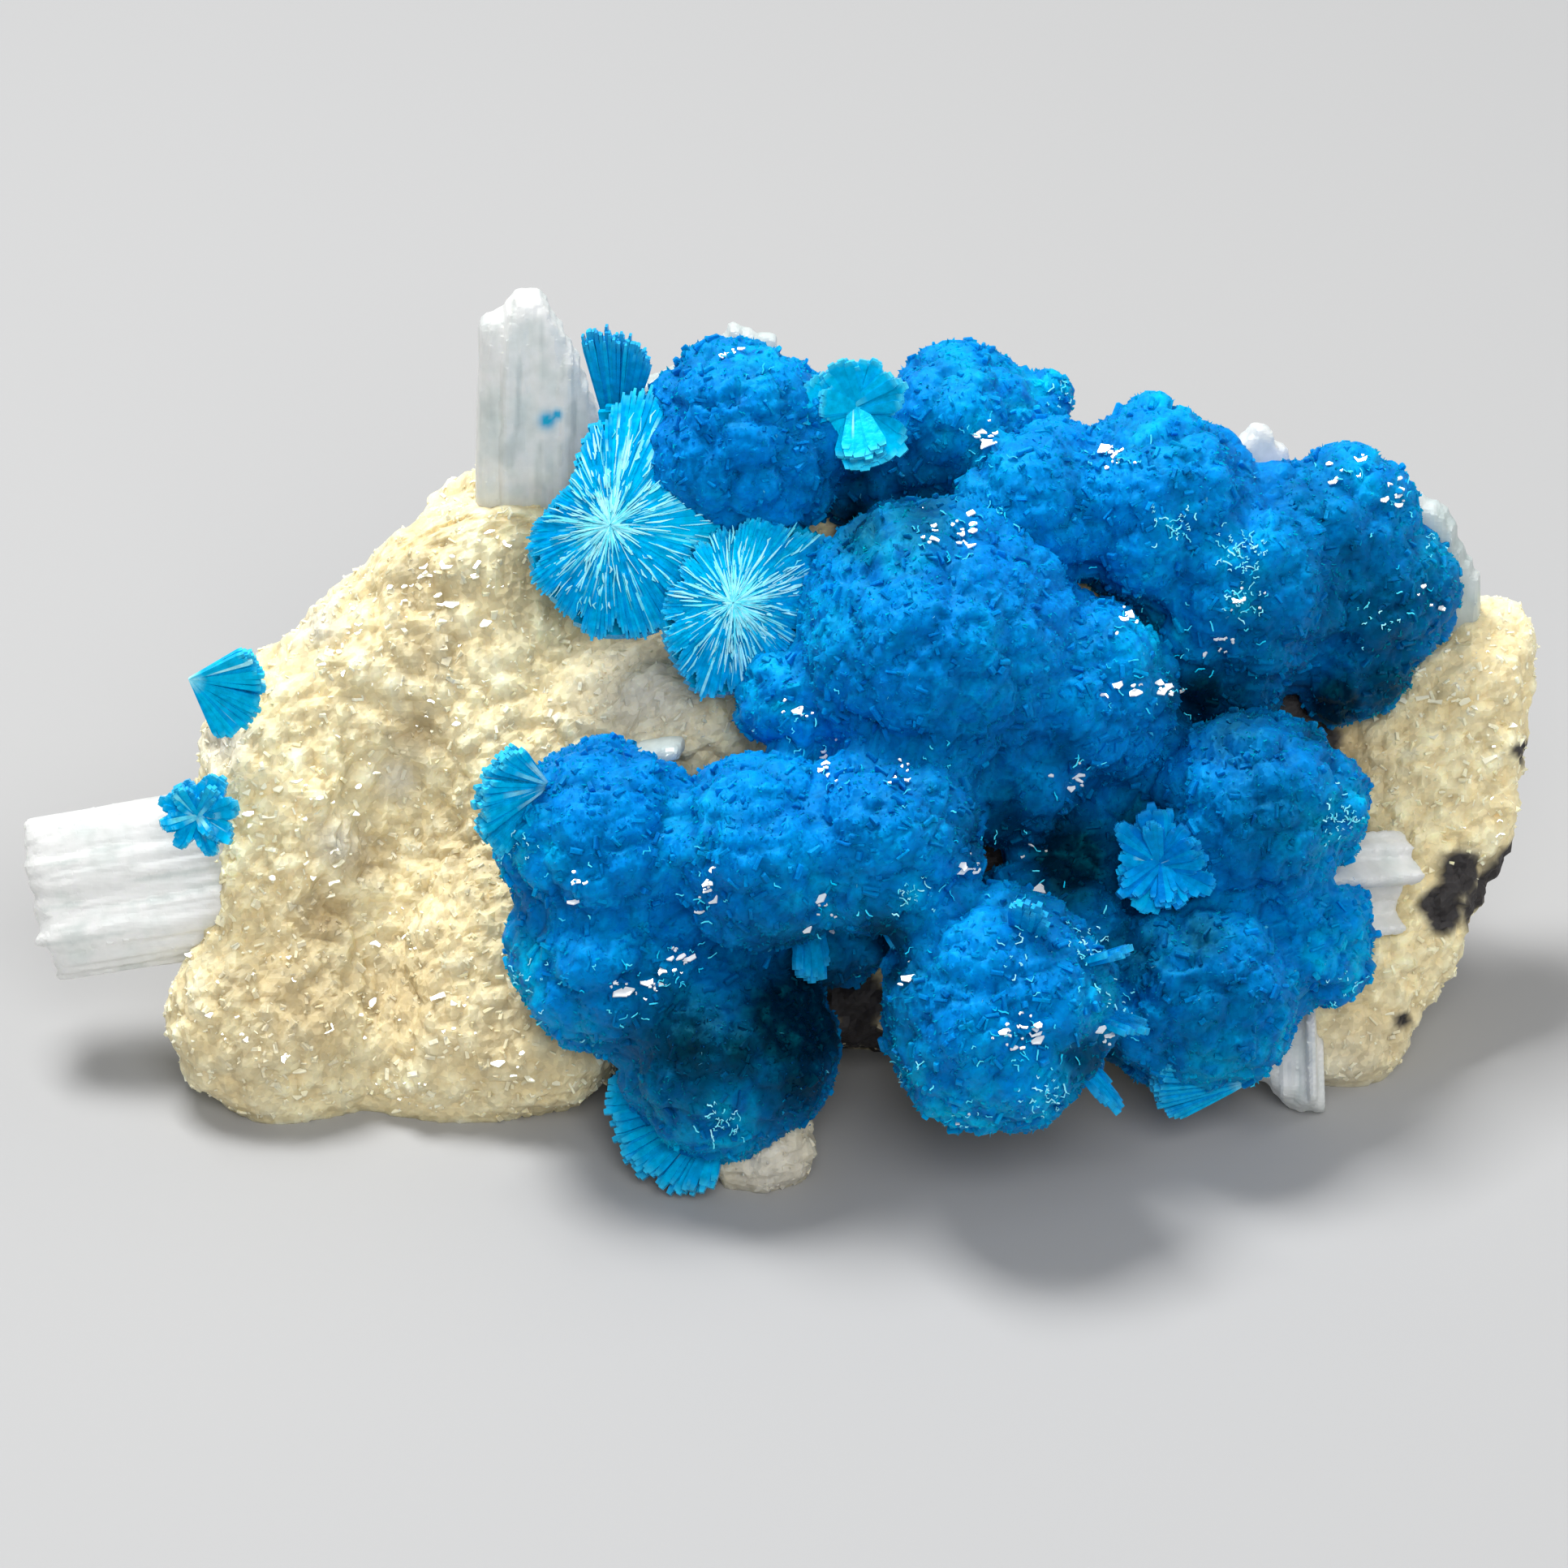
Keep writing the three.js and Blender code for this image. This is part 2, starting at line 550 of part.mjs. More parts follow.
const specimen = new THREE.Group();
const taken = [];
function grows(name, material, make) {
  const whole = make(0);
  specimen.add(meshOf(name, clearOf(whole, taken), material));
  taken.push(make(GAP).add(whole));
}

function frontCluster(grow) {
  return joined([
    balls(FRONT_BALLS, FRONT_FACET, grow),
    spray(STARBURST, grow),
    ...FRONT_BLADES.map((one) => blade(one, grow)),
    ...FRONT_FANS.map((one) => fan(one, grow)),
  ]);
}

grows('matrix_rock', DRUSE, rock);
for (const [name, spec] of Object.entries(STILBITES)) {
  grows(name, STILBITE, (grow) => stilbite(spec, grow));
}
grows('cavansite_large_rosette', CAVANSITE_PALE, (grow) => rosette(LARGE_ROSETTE, grow));
grows('cavansite_small_rosette', CAVANSITE_PALE, (grow) => rosette(SMALL_ROSETTE, grow));
grows('cavansite_front_cluster', CAVANSITE, frontCluster);
grows('cavansite_top_spray', CAVANSITE_PALE, (grow) => spray(TOP_SPRAY, grow));
grows('cavansite_rear_right_cluster', CAVANSITE, (grow) => balls(REAR_RIGHT_BALLS, REAR_FACET, grow));
grows('cavansite_rear_left_cluster', CAVANSITE, (grow) => balls(REAR_LEFT_BALLS, REAR_FACET, grow));
grows('cavansite_top_fan', CAVANSITE_PALE, (grow) => fan(TOP_FAN, grow));
grows('cavansite_left_spray', CAVANSITE_PALE, (grow) => spray(LEFT_SPRAY, grow));
grows('cavansite_left_fan', CAVANSITE_PALE, (grow) => fan(LEFT_FAN, grow));

export default specimen;
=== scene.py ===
import math

import bmesh
import bpy
import numpy as np
from mathutils import Matrix, Vector
from mathutils.bvhtree import BVHTree


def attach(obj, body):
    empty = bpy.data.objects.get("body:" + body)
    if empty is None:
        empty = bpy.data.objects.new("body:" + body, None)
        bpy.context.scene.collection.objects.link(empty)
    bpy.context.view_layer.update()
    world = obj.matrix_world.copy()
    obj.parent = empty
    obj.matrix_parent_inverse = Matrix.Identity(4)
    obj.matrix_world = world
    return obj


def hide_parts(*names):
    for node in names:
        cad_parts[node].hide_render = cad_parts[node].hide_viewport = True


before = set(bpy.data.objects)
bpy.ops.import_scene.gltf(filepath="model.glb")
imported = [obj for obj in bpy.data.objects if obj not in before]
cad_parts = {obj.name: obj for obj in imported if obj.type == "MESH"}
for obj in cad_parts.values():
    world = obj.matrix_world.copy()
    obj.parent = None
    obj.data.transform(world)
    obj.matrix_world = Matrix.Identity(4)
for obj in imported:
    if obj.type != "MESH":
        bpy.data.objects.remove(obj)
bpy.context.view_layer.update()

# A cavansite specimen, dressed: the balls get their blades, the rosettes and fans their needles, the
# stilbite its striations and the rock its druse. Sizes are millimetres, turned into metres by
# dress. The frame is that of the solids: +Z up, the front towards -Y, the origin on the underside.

MM = 0.001

# Camera: the angle down, the distance to the middle of the picture, and the lens
DOWN = math.radians(35)
DISTANCE = 300
TARGET = (0, 2, 13.4)
LENS = 139.75
SENSOR = 36
FRAME = 1932  # pixels across the picture, for the places that are listed by where they are seen
LOOK = np.array([0, math.cos(DOWN), -math.sin(DOWN)])
RIGHT = np.array([1.0, 0, 0])
UP = np.array([0, math.sin(DOWN), math.cos(DOWN)])
EYE = np.array(TARGET) - LOOK * DISTANCE

# Light: the name, place, size and power of each lamp, the point they face, the sky and the floor
KEY_PLACE = (-110, 130, 420)
LAMPS = [
    ("key", KEY_PLACE, 150, 2.5),
    ("front", (60, -320, 330), 260, 1.1),
    ("right", (330, 40, 200), 160, 0.3),
]
LAMP_AIM = (0, 0, 12)
SKY = (0.95, 0.97, 1, 1)
SKY_STRENGTH = 0.3
FLOOR_GREY = (0.37, 0.37, 0.37, 1)
FLOOR_GRAIN = (3, 0.1, 0.7, 0.7)  # as in material_of
FLOOR_SIZE = 4000

# Patterns on the cavansite balls: the width of the bumps or patches, and a seed
LOBES = (3.6, 3)
BUNDLES = (1.4, 51)  # bundles of blades, as seen from their ends
TUFTS = (0.5, 61)
BALL_SHADES = (3.4, 71)
PALE_RIMS = (2.4, 72)
CYAN_PATCHES = (0.7, 90)

# Cavansite balls
SKIN_CELL = 0.25  # cells of the skin that carries the blades
SKIN_SUNK = 0.3  # so that the lobes and bundles end where the balls do
LOBE_HEIGHT = 0.6
BUNDLE_HEIGHT = 0.34
TUFT_HEIGHT = 0.08
RIM_PLACE = 0.14  # from the edge of a bundle, as a share of its width
RIM_WIDTH = 0.09
BALL_FLOOR = 0.05  # nothing of a ball goes lower
BLADES_PER_CELL = 0.45
BLADE_DEPTH = 0.8  # how far a blade reaches in
BLADE_WIDTH = (0.08, 0.24)
BLADE_THICK = (0.04, 0.1)
BLADE_RISE = (0, 0.15)
SLABS_PER_CELL = 0.04  # wider blades with a square end
SLAB_WIDTH = (0.3, 0.9)
SLAB_THICK = (0.12, 0.3)
SLAB_RISE = (0, 0.25)
BLADE_SHADES = (0.88, 1.12)  # how far blades and slabs differ from the skin round them
BRIGHT_BLADES = 0.01  # the share of blades that catch the light
PAST_ROCK = -0.2  # blades start at least this far outside the rock, the other balls and the ground
PAST_BALLS = -0.6
PAST_GROUND = 0.4
GLINT_SIZE = (0.12, 0.75)
GLINT_THICK = 0.08
GLINT_LEAN = (0.8, 0, 0.5)  # most of the bright facets are drawn out this way
GLINT_RISE = 0.15  # how far glints and flecks stand in front of the skin
GLINT_SPREAD = 11  # in pixels of the frame, as the other spreads
DRUSE_GLINT_SPREAD = 26
FLECK_SPREAD = 30
FLECK_LENGTH = (0.2, 0.6)
FLECK_THICK = 0.2
PALE_SPREAD = 15
PALE_LENGTH = (0.12, 0.5)

# Needles: how many a rosette has in its disc, its cone and on top, and the others in each part
DISC_NEEDLES = 420
CONE_NEEDLES = 60
SLIVERS = 700
FAN_NEEDLES = 90
PETAL_NEEDLES = 14
PLATE_NEEDLES = 20
ROSETTE_LOBES = 13
DOME = 0.16  # how far a rosette's rim drops, as a share of its reach
CONE_DEPTH = 0.75  # likewise, how far down its foot is
NARROW_END = 0.6  # the width of a needle's end, as a share of the width before it
PETAL_THICK = 0.3
FAN_BLUNT = 0.86  # how long a fan is at its edges, as a share of the middle

# Patterns on the rock, as for the balls
LUMPS = (5, 11)
KNOTS = (2.3, 12)  # knots of crystals
CRUST = (0.95, 13)  # crystals that have grown into one another
SUGAR = (0.4, 14)
BARE_PATCHES = (5, 21)
BARE_FRINGES = (1.8, 22)
BARE_EDGES = (1.2, 23)
CREAM_TONES = (3, 41)
PALE_TONES = (1.6, 42)
CRYSTAL_TONES = (3.5, 41)

# Rock, druse and stilbite
ROCK_CELL = 0.31
LUMP_HEIGHT = 0.7
KNOT_HEIGHT = 0.28
CRUST_HEIGHT = 0.25
SUGAR_HEIGHT = 0.12
WELD = 0.001  # corners of the solid that are closer than this are one
ROCK_SMOOTHING = 20
RELIEF_FROM = (0, 1.5)  # the rock's relief grows between these heights
FLAT_BELOW = 0.25  # what is lower lies flat on the ground
BARE_RIGHT = (31, 34)  # dark rock shows more and more from the first of each pair to the second
BARE_RIGHT_HEIGHT = (12, 8)
BARE_BACK = (13, 17)
BARE_BACK_HEIGHT = (25, 20)
BARE_UNDER = (0, 4)
CRYSTALS = 6500
CRYSTAL_LENGTH = (0.12, 0.5)
CRYSTAL_FLOOR = 0.02
BURIED = -0.7  # no crystals further inside a ball than this
LATH_WIDTH = 0.4
STILBITE_CELL = 0.2
STILBITE_SMOOTHING = 3
STILBITE_FLOOR = 0.1

# Where the druse stands out further than the solid: the middle, the radius and the way out
SWELLS = [
    ((-13.5, 7, 22.5), 3, (0, 0, 2.2)), ((-10.5, 7.6, 22.5), 2.5, (0, 0, 1.8)),
    ((-25, -5, 1.5), 4, (0, -2, 0)), ((-18, -5, 1.5), 4, (0, -2.2, 0)), ((-11, -5, 1.5), 4, (0, -2.4, 0)),
    ((-22, 5, 18), 4.5, (-0.6, 0, 0.9)), ((-17, 6, 22), 4, (-1.3, 0, 1.5)), ((35, 10, 17), 4, (0.8, 0, 0.9)),
    ((28, -2, 1), 3, (0, -2, 0)),
]

# Where the front is tinted darker, paler or with dark rock, some of it painted shade: across, down, radius
# and strength
# Painted shade: hollows, gaps and the undersides of overhangs, darkened to near black as if in shadow
PAINTED_SHADE_PLACES = [
    (850, 1290, 100, 1), (985, 1330, 80, 1), (985, 1255, 100, 1.3), (1055, 640, 45, 1),
    (910, 1295, 70, 1),
    (1320, 1060, 75, 1.2),
    (1715, 850, 80, 0.9), (1520, 870, 70, 0.8), (1130, 615, 60, 0.8), (1400, 1170, 60, 0.8),
    (1645, 870, 55, 1.2), (1240, 1020, 65, 0.9), (1480, 860, 45, 1.2), (1400, 1010, 50, 0.8),
    (1350, 1310, 40, 0.9), (1090, 1150, 40, 0.9), (1480, 1150, 45, 0.8), (1750, 740, 70, 0.6),
    (1560, 790, 90, 0.45), (1490, 1250, 90, 0.4), (1200, 930, 120, 0.3), (1100, 1200, 30, 0.9),
    (1662, 680, 26, 0.6), (1668, 770, 30, 0.7), (1060, 600, 40, 0.8), (1310, 930, 30, 0.5),
    (1700, 770, 100, 0.75), (1620, 620, 40, 0.4), (1560, 1010, 90, 0.5),
]
# Cyan of thin crystal edges, partly painted glow where light shines through them
CYAN_AND_GLOW_PLACES = [
    (1530, 680, 34, 0.9), (1452, 640, 24, 0.8), (1530, 745, 22, 0.8), (1655, 1010, 50, 0.9),
    (1300, 1350, 60, 0.7), (1125, 1105, 28, 0.7), (1345, 1170, 20, 0.7), (1320, 480, 30, 0.8),
    (640, 1050, 45, 0.8), (640, 1200, 50, 0.9), (700, 1310, 50, 1), (800, 1420, 70, 0.9),
    (893, 1385, 45, 1), (900, 1470, 60, 1), (1100, 1330, 50, 0.9), (1180, 1390, 60, 1),
    (1290, 1370, 60, 0.8), (1370, 1240, 40, 0.8), (1690, 1010, 50, 1), (1660, 1200, 60, 0.9),
    (1600, 1290, 60, 0.8), (1780, 660, 40, 0.8), (1290, 460, 50, 1), (950, 850, 60, 0.6),
    (1000, 760, 40, 0.5), (1100, 660, 60, 0.6), (1420, 500, 60, 0.6), (920, 420, 60, 0.5),
    (1190, 430, 50, 0.5), (1200, 540, 60, 0.5), (1430, 780, 40, 0.7), (1700, 570, 50, 0.6),
    (860, 1010, 40, 0.4), (1500, 1330, 60, 0.6), (1000, 1120, 60, 0.5),
]
BLUE_SPOTS = [(674, 518, 9, 1.6), (686, 511, 6, 1.6)]
GREY_PLACES = [
    (800, 850, 80, 0.9), (950, 1440, 90, 1), (1640, 1330, 60, 0.5), (490, 960, 28, 0.7),
    (415, 1040, 28, 0.7), (395, 770, 24, 0.8), (275, 915, 35, 0.9),
]
# Browner druse, and painted shade where the druse lies in shadow
BROWN_AND_SHADE_PLACES = [
    (400, 1130, 45, 0.8), (510, 900, 40, 0.7), (480, 1220, 80, 0.5), (450, 1060, 40, 0.7),
    (1700, 1280, 60, 0.35), (1660, 920, 50, 0.7), (1060, 1300, 60, 0.8), (520, 720, 50, 0.4),
    (560, 1060, 60, 0.3), (960, 1460, 70, 0.6), (530, 810, 40, 0.5), (640, 720, 40, 0.3),
    (380, 1230, 110, 0.5), (600, 1290, 90, 0.35), (300, 1310, 70, 0.35), (295, 1215, 35, 0.5),
]
# Dark basalt at the right edge, and painted shade: holes and gaps that lie in shadow, painted near black
BASALT_AND_SHADE_PLACES = [
    (1800, 1080, 38, 1), (1871, 926, 16, 1), (1733, 1259, 16, 1), (1778, 1115, 34, 1),
    (1215, 1050, 60, 1.5), (1060, 1290, 60, 1.5), (1495, 885, 50, 1.5), (1060, 640, 40, 1.5),
    (1640, 915, 30, 1.2), (1040, 1225, 50, 1.5), (1596, 868, 40, 1.5),
]

# Where the front sparkles: across, down and the number of pairs of facets
DRUSE_GLINTS = [
    (1780, 870, 5), (1840, 880, 5), (1800, 810, 4), (1830, 1000, 4), (600, 600, 4), (530, 690, 4),
    (560, 730, 4), (330, 990, 6), (300, 1015, 4), (390, 1060, 4), (370, 1330, 6), (450, 1250, 4),
    (520, 1340, 4), (640, 1330, 5), (480, 1150, 4), (1760, 1240, 4), (1735, 1300, 4), (620, 700, 4),
    (560, 610, 4), (460, 740, 4), (420, 800, 4), (250, 1130, 4), (270, 1260, 4), (1700, 940, 4),
    (430, 950, 4), (560, 880, 4), (560, 1240, 4), (680, 660, 3), (340, 1180, 4),
]
GLINTS = [
    (1370, 565, 6), (1215, 540, 4), (1190, 650, 6), (1155, 655, 3), (1500, 800, 4), (1395, 765, 4),
    (1385, 850, 3), (1440, 845, 4), (1015, 935, 5), (1120, 955, 4), (985, 885, 3), (870, 1095, 5),
    (1190, 1065, 4), (1015, 1130, 4), (720, 1100, 2), (830, 1190, 5), (760, 1220, 3), (800, 1220, 4),
    (1265, 1120, 3), (1270, 1265, 6), (1245, 1285, 5), (1120, 1200, 2), (1180, 1388, 3),
    (1430, 1075, 3), (1270, 1045, 2), (1715, 610, 4), (1770, 740, 2), (1040, 430, 3),
    (1330, 955, 3), (1540, 745, 3), (1600, 1288, 3), (1665, 570, 3), (905, 430, 3), (1365, 1275, 3),
]
PALE_CLUSTERS = [
    (1530, 680, 24), (1452, 640, 12), (1530, 745, 10), (1655, 1010, 16), (1285, 1355, 18),
    (1125, 1105, 9), (1340, 1165, 12), (1320, 480, 9), (1690, 760, 6), (1780, 660, 9), (640, 1200, 8),
    (893, 1385, 14), (1110, 1320, 7), (1185, 1390, 6), (1380, 1240, 8), (655, 1260, 8), (700, 1320, 6),
    (630, 1040, 8), (1660, 1220, 7), (1250, 1180, 5),
]

# Balls of cavansite: the middle and the radius
FRONT_BALLS = [
    (-8.5, -5.5, 15, 5.3), (-8.1, -7.5, 10.1, 5.4), (-2.8, -9.8, 6, 5.5), (-0.9, -7.3, 15.8, 4.9),
    (4.9, -7.3, 16.6, 4.9), (2.2, -4.6, 10.6, 4), (7.4, 0.5, 22.4, 7.4), (1, -0.6, 20.3, 3.4),
    (14.1, 0, 20.4, 5), (11, -1, 17.2, 4.8), (16.5, 1, 15.8, 3.6), (15, -1.6, 12.4, 3.8),
    (10.2, -12, 10, 6), (12.5, -6, 9.4, 4.6), (20.2, -7, 7.6, 5.3), (25, -4.6, 9, 3.9),
    (18, -7.4, 4.8, 2.6), (22.8, -2.4, 14.8, 5.1), (26, -2.4, 14.9, 2.9),
]
REAR_RIGHT_BALLS = [
    (12.1, 6, 27, 4.5), (18.1, 6.6, 26.4, 5.2), (22.3, 5.6, 23, 5.4), (21.6, 5, 19.6, 4.2),
    (17.6, 8.4, 29.5, 2.1), (27.3, 8, 24.8, 4), (28.9, 7, 21.4, 4.3), (27.9, 5.6, 18.7, 3.5),
    (24.4, 7, 25.9, 2.9),
]
REAR_LEFT_BALLS = [
    (-2.1, 7.8, 29.6, 5.2), (8.7, 10, 28.9, 4.4), (12.8, 11.5, 29.3, 2), (3.6, 10.2, 27, 3.4),
]
ALL_BALLS = FRONT_BALLS + REAR_RIGHT_BALLS + REAR_LEFT_BALLS

# Rosettes: the middle, the way they face, and at even angles from +X round to +Z their reach and
# the share of their needles that are white
LARGE_ROSETTE = dict(
    at=(-8.3, 3.4, 27.6), facing=(-0.1, -0.82, 0.57),
    reach=(
        6.6, 6.9, 7.8, 7.5, 7.2, 6.9, 6, 4.5, 3.3, 2.9, 3.1, 3.4,
        4, 4.5, 4.8, 4.8, 5, 5.6, 5.6, 5.7, 5.5, 5, 4.6, 5.2,
    ),
    white=(0.35, 0.5, 0.6, 0.8, 0.6, 0.15, 0.35, 0.5, 0.8, 0.25, 0.3, 0.1),
)
SMALL_ROSETTE = dict(
    at=(-2.5, 0.9, 24.8), facing=(0.1, -0.84, 0.54),
    reach=(
        4.1, 4.7, 6, 5.4, 5, 4.5, 3.9, 3.6, 3.4, 3.2, 3.1, 3.1,
        3.3, 3.5, 3.7, 4, 4.3, 4.9, 4.7, 4.2, 4.5, 3.8, 3.6, 4.1,
    ),
    white=(0.3, 0.8, 0.5, 0.4, 0.4, 0.15, 0.1, 0.1, 0.4, 0.7, 0.8, 0.6),
)

# Fans: where they start, their two edges, the thickness, the share of white needles and how pale
# the others are
FRONT_FANS = [
    dict(apex=(-2.6, -10.5, 3.8), edges=((-6.3, 1.5, 0), (-0.8, -4.1, -3.2)), thick=0.8, look=(0.2, 0.4)),
    dict(apex=(22.6, -10, 4.2), edges=((-4.4, -1, 2.3), (-4, -0.5, -1.8)), thick=0.8, look=(0.1, 0.3)),
    dict(apex=(-11.2, -5.8, 18.8), edges=((-1.4, -0.7, 2.9), (-2.7, -1.9, -3)), thick=0.8, look=(0.4, 0.6)),
]
TOP_FAN = dict(
    apex=(-8.2, 9.4, 27.4), edges=((-1.8, 0.3, 7.7), (2, -0.2, 6.4)), thick=0.5, look=(0.02, 0.2)
)
LEFT_FAN = dict(
    apex=(-28.8, 0.6, 20.6), edges=((3, 0.5, 1.6), (1.3, -0.2, -3.7)), thick=0.7, look=(0.3, 0.65)
)

# Plates that stand out of the balls: from, to and the width at the end
FRONT_PLATES = [
    ((11, -11, 11), (17, -14.6, 10.8), 1.9), ((11, -11, 11), (16.2, -13.4, 14.6), 2),
    ((11, -11, 11), (11.6, -13.6, 17.4), 2.2), ((11, -11, 11), (15.8, -15.4, 6.8), 1.8),
    ((1, -6, 15), (1.4, -9.4, 10), 2.4), ((3, -6, 15), (6.2, -10.4, 12.4), 2.2),
]

# Sprays of petals: where they meet, the way they face, their length and number, how far the inner
# ones stand up, how blunt they are at the sides, and the look as for the fans
STARBURST = dict(
    at=(18.1, -6, 14.4), facing=(-0.1, -0.85, 0.5), reach=2.7, petals=9, lift=0.35, blunt=0.8, look=(0.04, 0)
)
TOP_SPRAY = dict(
    at=(3.5, 7, 32.1), facing=(0, -0.85, 0.5), reach=3.2, petals=7, lift=0.4, blunt=0.85, look=(0.1, 0.7)
)
LEFT_SPRAY = dict(
    at=(-28.5, -2.2, 14.5), facing=(-0.2, -0.85, 0.5), reach=2.3, petals=8, lift=0.5, blunt=0.6,
    look=(0.75, 0.4),
)

# Stilbite: the root, the way it points, the way its width runs, its length, width and thickness, how
# far it reaches from one side of its width to the other as a share of the length, how white it is
# from 0 to 1, and how far its laths lie out of line as a share of the thickness
STILBITES = {
    "left_block": dict(
        at=(-24, -0.4, 10.6), along=(-1, 0, -0.2), across=(-0.06, 0.46, 0.88), white=0.95,
        size=(13.2, 8, 4.2), ends=(0.965, 0.98, 0.985, 1, 0.99, 1, 0.99),
    ),
    "tall_blade": dict(
        at=(-12.1, 10, 22.3), along=(0.05, 0.06, 1), across=(1, 0.1, -0.05), white=0.8,
        size=(13.8, 6.4, 2.8), ends=(0.9, 0.95, 1, 0.98, 0.9, 0.78, 0.64, 0.52), ragged=0.05,
    ),
    "rear_blade": dict(
        at=(-4.2, 12.4, 20.7), along=(0.03, 0.1, 1), across=(1, 0.15, 0), white=0.2,
        size=(11.8, 7, 2), ends=(0.76, 0.84, 0.94, 1, 0.97),
    ),
    "rear_chip": dict(
        at=(23.5, 10.6, 21.2), along=(0, 0.1, 1), across=(1, 0.3, 0),
        size=(7.4, 2.6, 1.8), ends=(0.9, 1, 0.8),
    ),
    "right_blade": dict(
        at=(32.5, 9, 14.7), along=(-0.06, 0, 1), across=(1, -0.3, 0.05), white=0.2,
        size=(11, 4.6, 1.8), ends=(1, 1, 0.97, 0.86, 0.62),
    ),
    "right_sheaf": dict(
        at=(30.2, -0.6, 9.2), along=(-0.8, -0.5, 0.3), across=(0.3, -0.1, 1), white=0.85,
        size=(7.6, 4.6, 2.2), ends=(0.62, 0.7, 0.72, 0.86, 1), ragged=0.25,
    ),
    "right_tooth": dict(
        at=(24.9, -3.4, 3.9), along=(0, -0.66, -0.5), across=(1, 0.05, 0.1), white=0.75,
        size=(5.4, 3.4, 2.4), ends=(0.72, 0.95, 1), ragged=0.15,
    ),
    "front_chip": dict(
        at=(-6, -0.6, 17.4), along=(-0.1, -0.9, 0.4), across=(1, 0, 0.2), white=-0.2,
        size=(3.6, 2.4, 1), ends=(1, 0.8),
    ),
}


def colour(red, green, blue):
    """A colour as a screen shows it, 0 to 255, as linear values."""
    shares = np.array([red, green, blue]) / 255
    return np.where(shares <= 0.04045, shares / 12.92, ((shares + 0.055) / 1.055) ** 2.4)


# Painted shadow, for hollows and gaps that lie in shade
BLUE_PAINTED_SHADOW = colour(0, 14, 40)
# Painted shade, for the creases of the balls and the foot of a rosette's cone
BLUE_PAINTED_SHADE = colour(0, 66, 140)
BLUE = colour(0, 114, 200)
BLUE_LIT = colour(0, 135, 213)
CYAN = colour(0, 180, 228)
CYAN_PALE = colour(90, 220, 240)
WHITE_BLUE = colour(180, 242, 252)
WHITE = colour(250, 252, 252)
CREAM = colour(243, 234, 194)
CREAM_PALE = colour(248, 243, 214)
CREAM_DARK = colour(228, 212, 166)
# Browner druse, also used as painted shade
BROWN_AND_SHADE = colour(164, 138, 92)
GREY = colour(208, 203, 188)
# Dark basalt, also used as painted shade in holes and gaps
BASALT_AND_SHADE = colour(40, 36, 36)
STILBITE_WHITE = colour(252, 253, 250)
STILBITE_GREY = colour(204, 218, 215)


# Numbers and vectors

chance = np.random.default_rng


def between(limits, shares):
    return limits[0] + (limits[1] - limits[0]) * shares


def ramp(values, limits):
    """From 0 at the first limit to 1 at the second."""
    return np.clip((values - limits[0]) / (limits[1] - limits[0]), 0, 1)


def mixed(first, second, shares):
    """Rows of colour between two colours, or between two rows of colours."""
    shares = np.clip(shares, 0, 1)[..., None]
    return first * (1 - shares) + second * shares


def unit(vectors):
    return vectors / (np.linalg.norm(vectors, axis=-1, keepdims=True) + 1e-12)


def sideways(directions, random):
    """Two unit vectors square to each direction, turned by chance."""
    first = unit(np.cross(directions, random.normal(size=directions.shape)))
    return first, np.cross(directions, first)


def lattice(cells, seed):
    """A fixed number from -1 to 1 for each whole point of space."""
    mixed_up = cells @ np.array([374761393, 668265263, 1442695041]) + seed * 362437
    mixed_up = ((mixed_up ^ (mixed_up >> 13)) * 1274126177) & 0xFFFFFFFF
    return ((mixed_up ^ (mixed_up >> 16)) & 0xFFFF) / 32767.5 - 1


def noise(points, width, seed):
    """Smooth noise from -1 to 1, with bumps about as wide as width."""
    cells = points / width
    base = np.floor(cells).astype(np.int64)
    part = cells - base
    ease = part * part * (3 - 2 * part)
    total = np.zeros(len(points))
    for corner in np.ndindex(2, 2, 2):
        share = np.prod(np.where(corner, ease, 1 - ease), axis=1)
        total += share * lattice(base + np.array(corner), seed)
    return total


def seeds_near(points, width, seed):
    """The crystal seeds round each point: the way from the seed, in widths, and its cell."""
    cells = np.floor(points / width).astype(np.int64)
    for step in np.ndindex(3, 3, 3):
        cell = cells + np.array(step) - 1
        yield points / width - (cell + 0.5 + 0.45 * ways_by_chance(cell, seed)), cell


def ways_by_chance(cells, seed):
    return np.stack([lattice(cells, seed + k) for k in range(3)], axis=1)


def bundles(points, width, seed):
    """The height of slanting bundles side by side, and how far their middle and edge are."""
    least = np.full(len(points), np.inf)
    second = np.full(len(points), np.inf)
    height = np.zeros(len(points))
    for away, cell in seeds_near(points, width, seed):
        far = np.linalg.norm(away, axis=1)
        slant = np.sum(away * ways_by_chance(cell, seed + 3), axis=1)
        nearer = far < least
        second = np.where(nearer, least, np.minimum(second, far))
        least = np.where(nearer, far, least)
        height = np.where(nearer, lattice(cell, seed + 6) + 1.2 * slant, height)
    return height, least, second - least


def crust(points, width, seed):
    """The height of blunt crystals at all angles that have grown into one another."""
    best = np.full(len(points), -np.inf)
    for away, cell in seeds_near(points, width, seed):
        first = unit(ways_by_chance(cell, seed + 3))
        second = unit(np.cross(first, ways_by_chance(cell, seed + 6)))
        third = np.cross(first, second)
        far = np.zeros(len(points))
        for way, size in ((first, 1), (second, 1.2), (third, 1.7)):
            far += (np.sum(away * way, axis=1) * size) ** 4
        far = far ** 0.25
        best = np.maximum(best, 0.4 * lattice(cell, seed + 9) - 1.8 * far ** 1.5)
    return best + 0.4


# Meshes

def linked(name, data):
    piece = bpy.data.objects.new(name, data)
    bpy.context.scene.collection.objects.link(piece)
    return piece


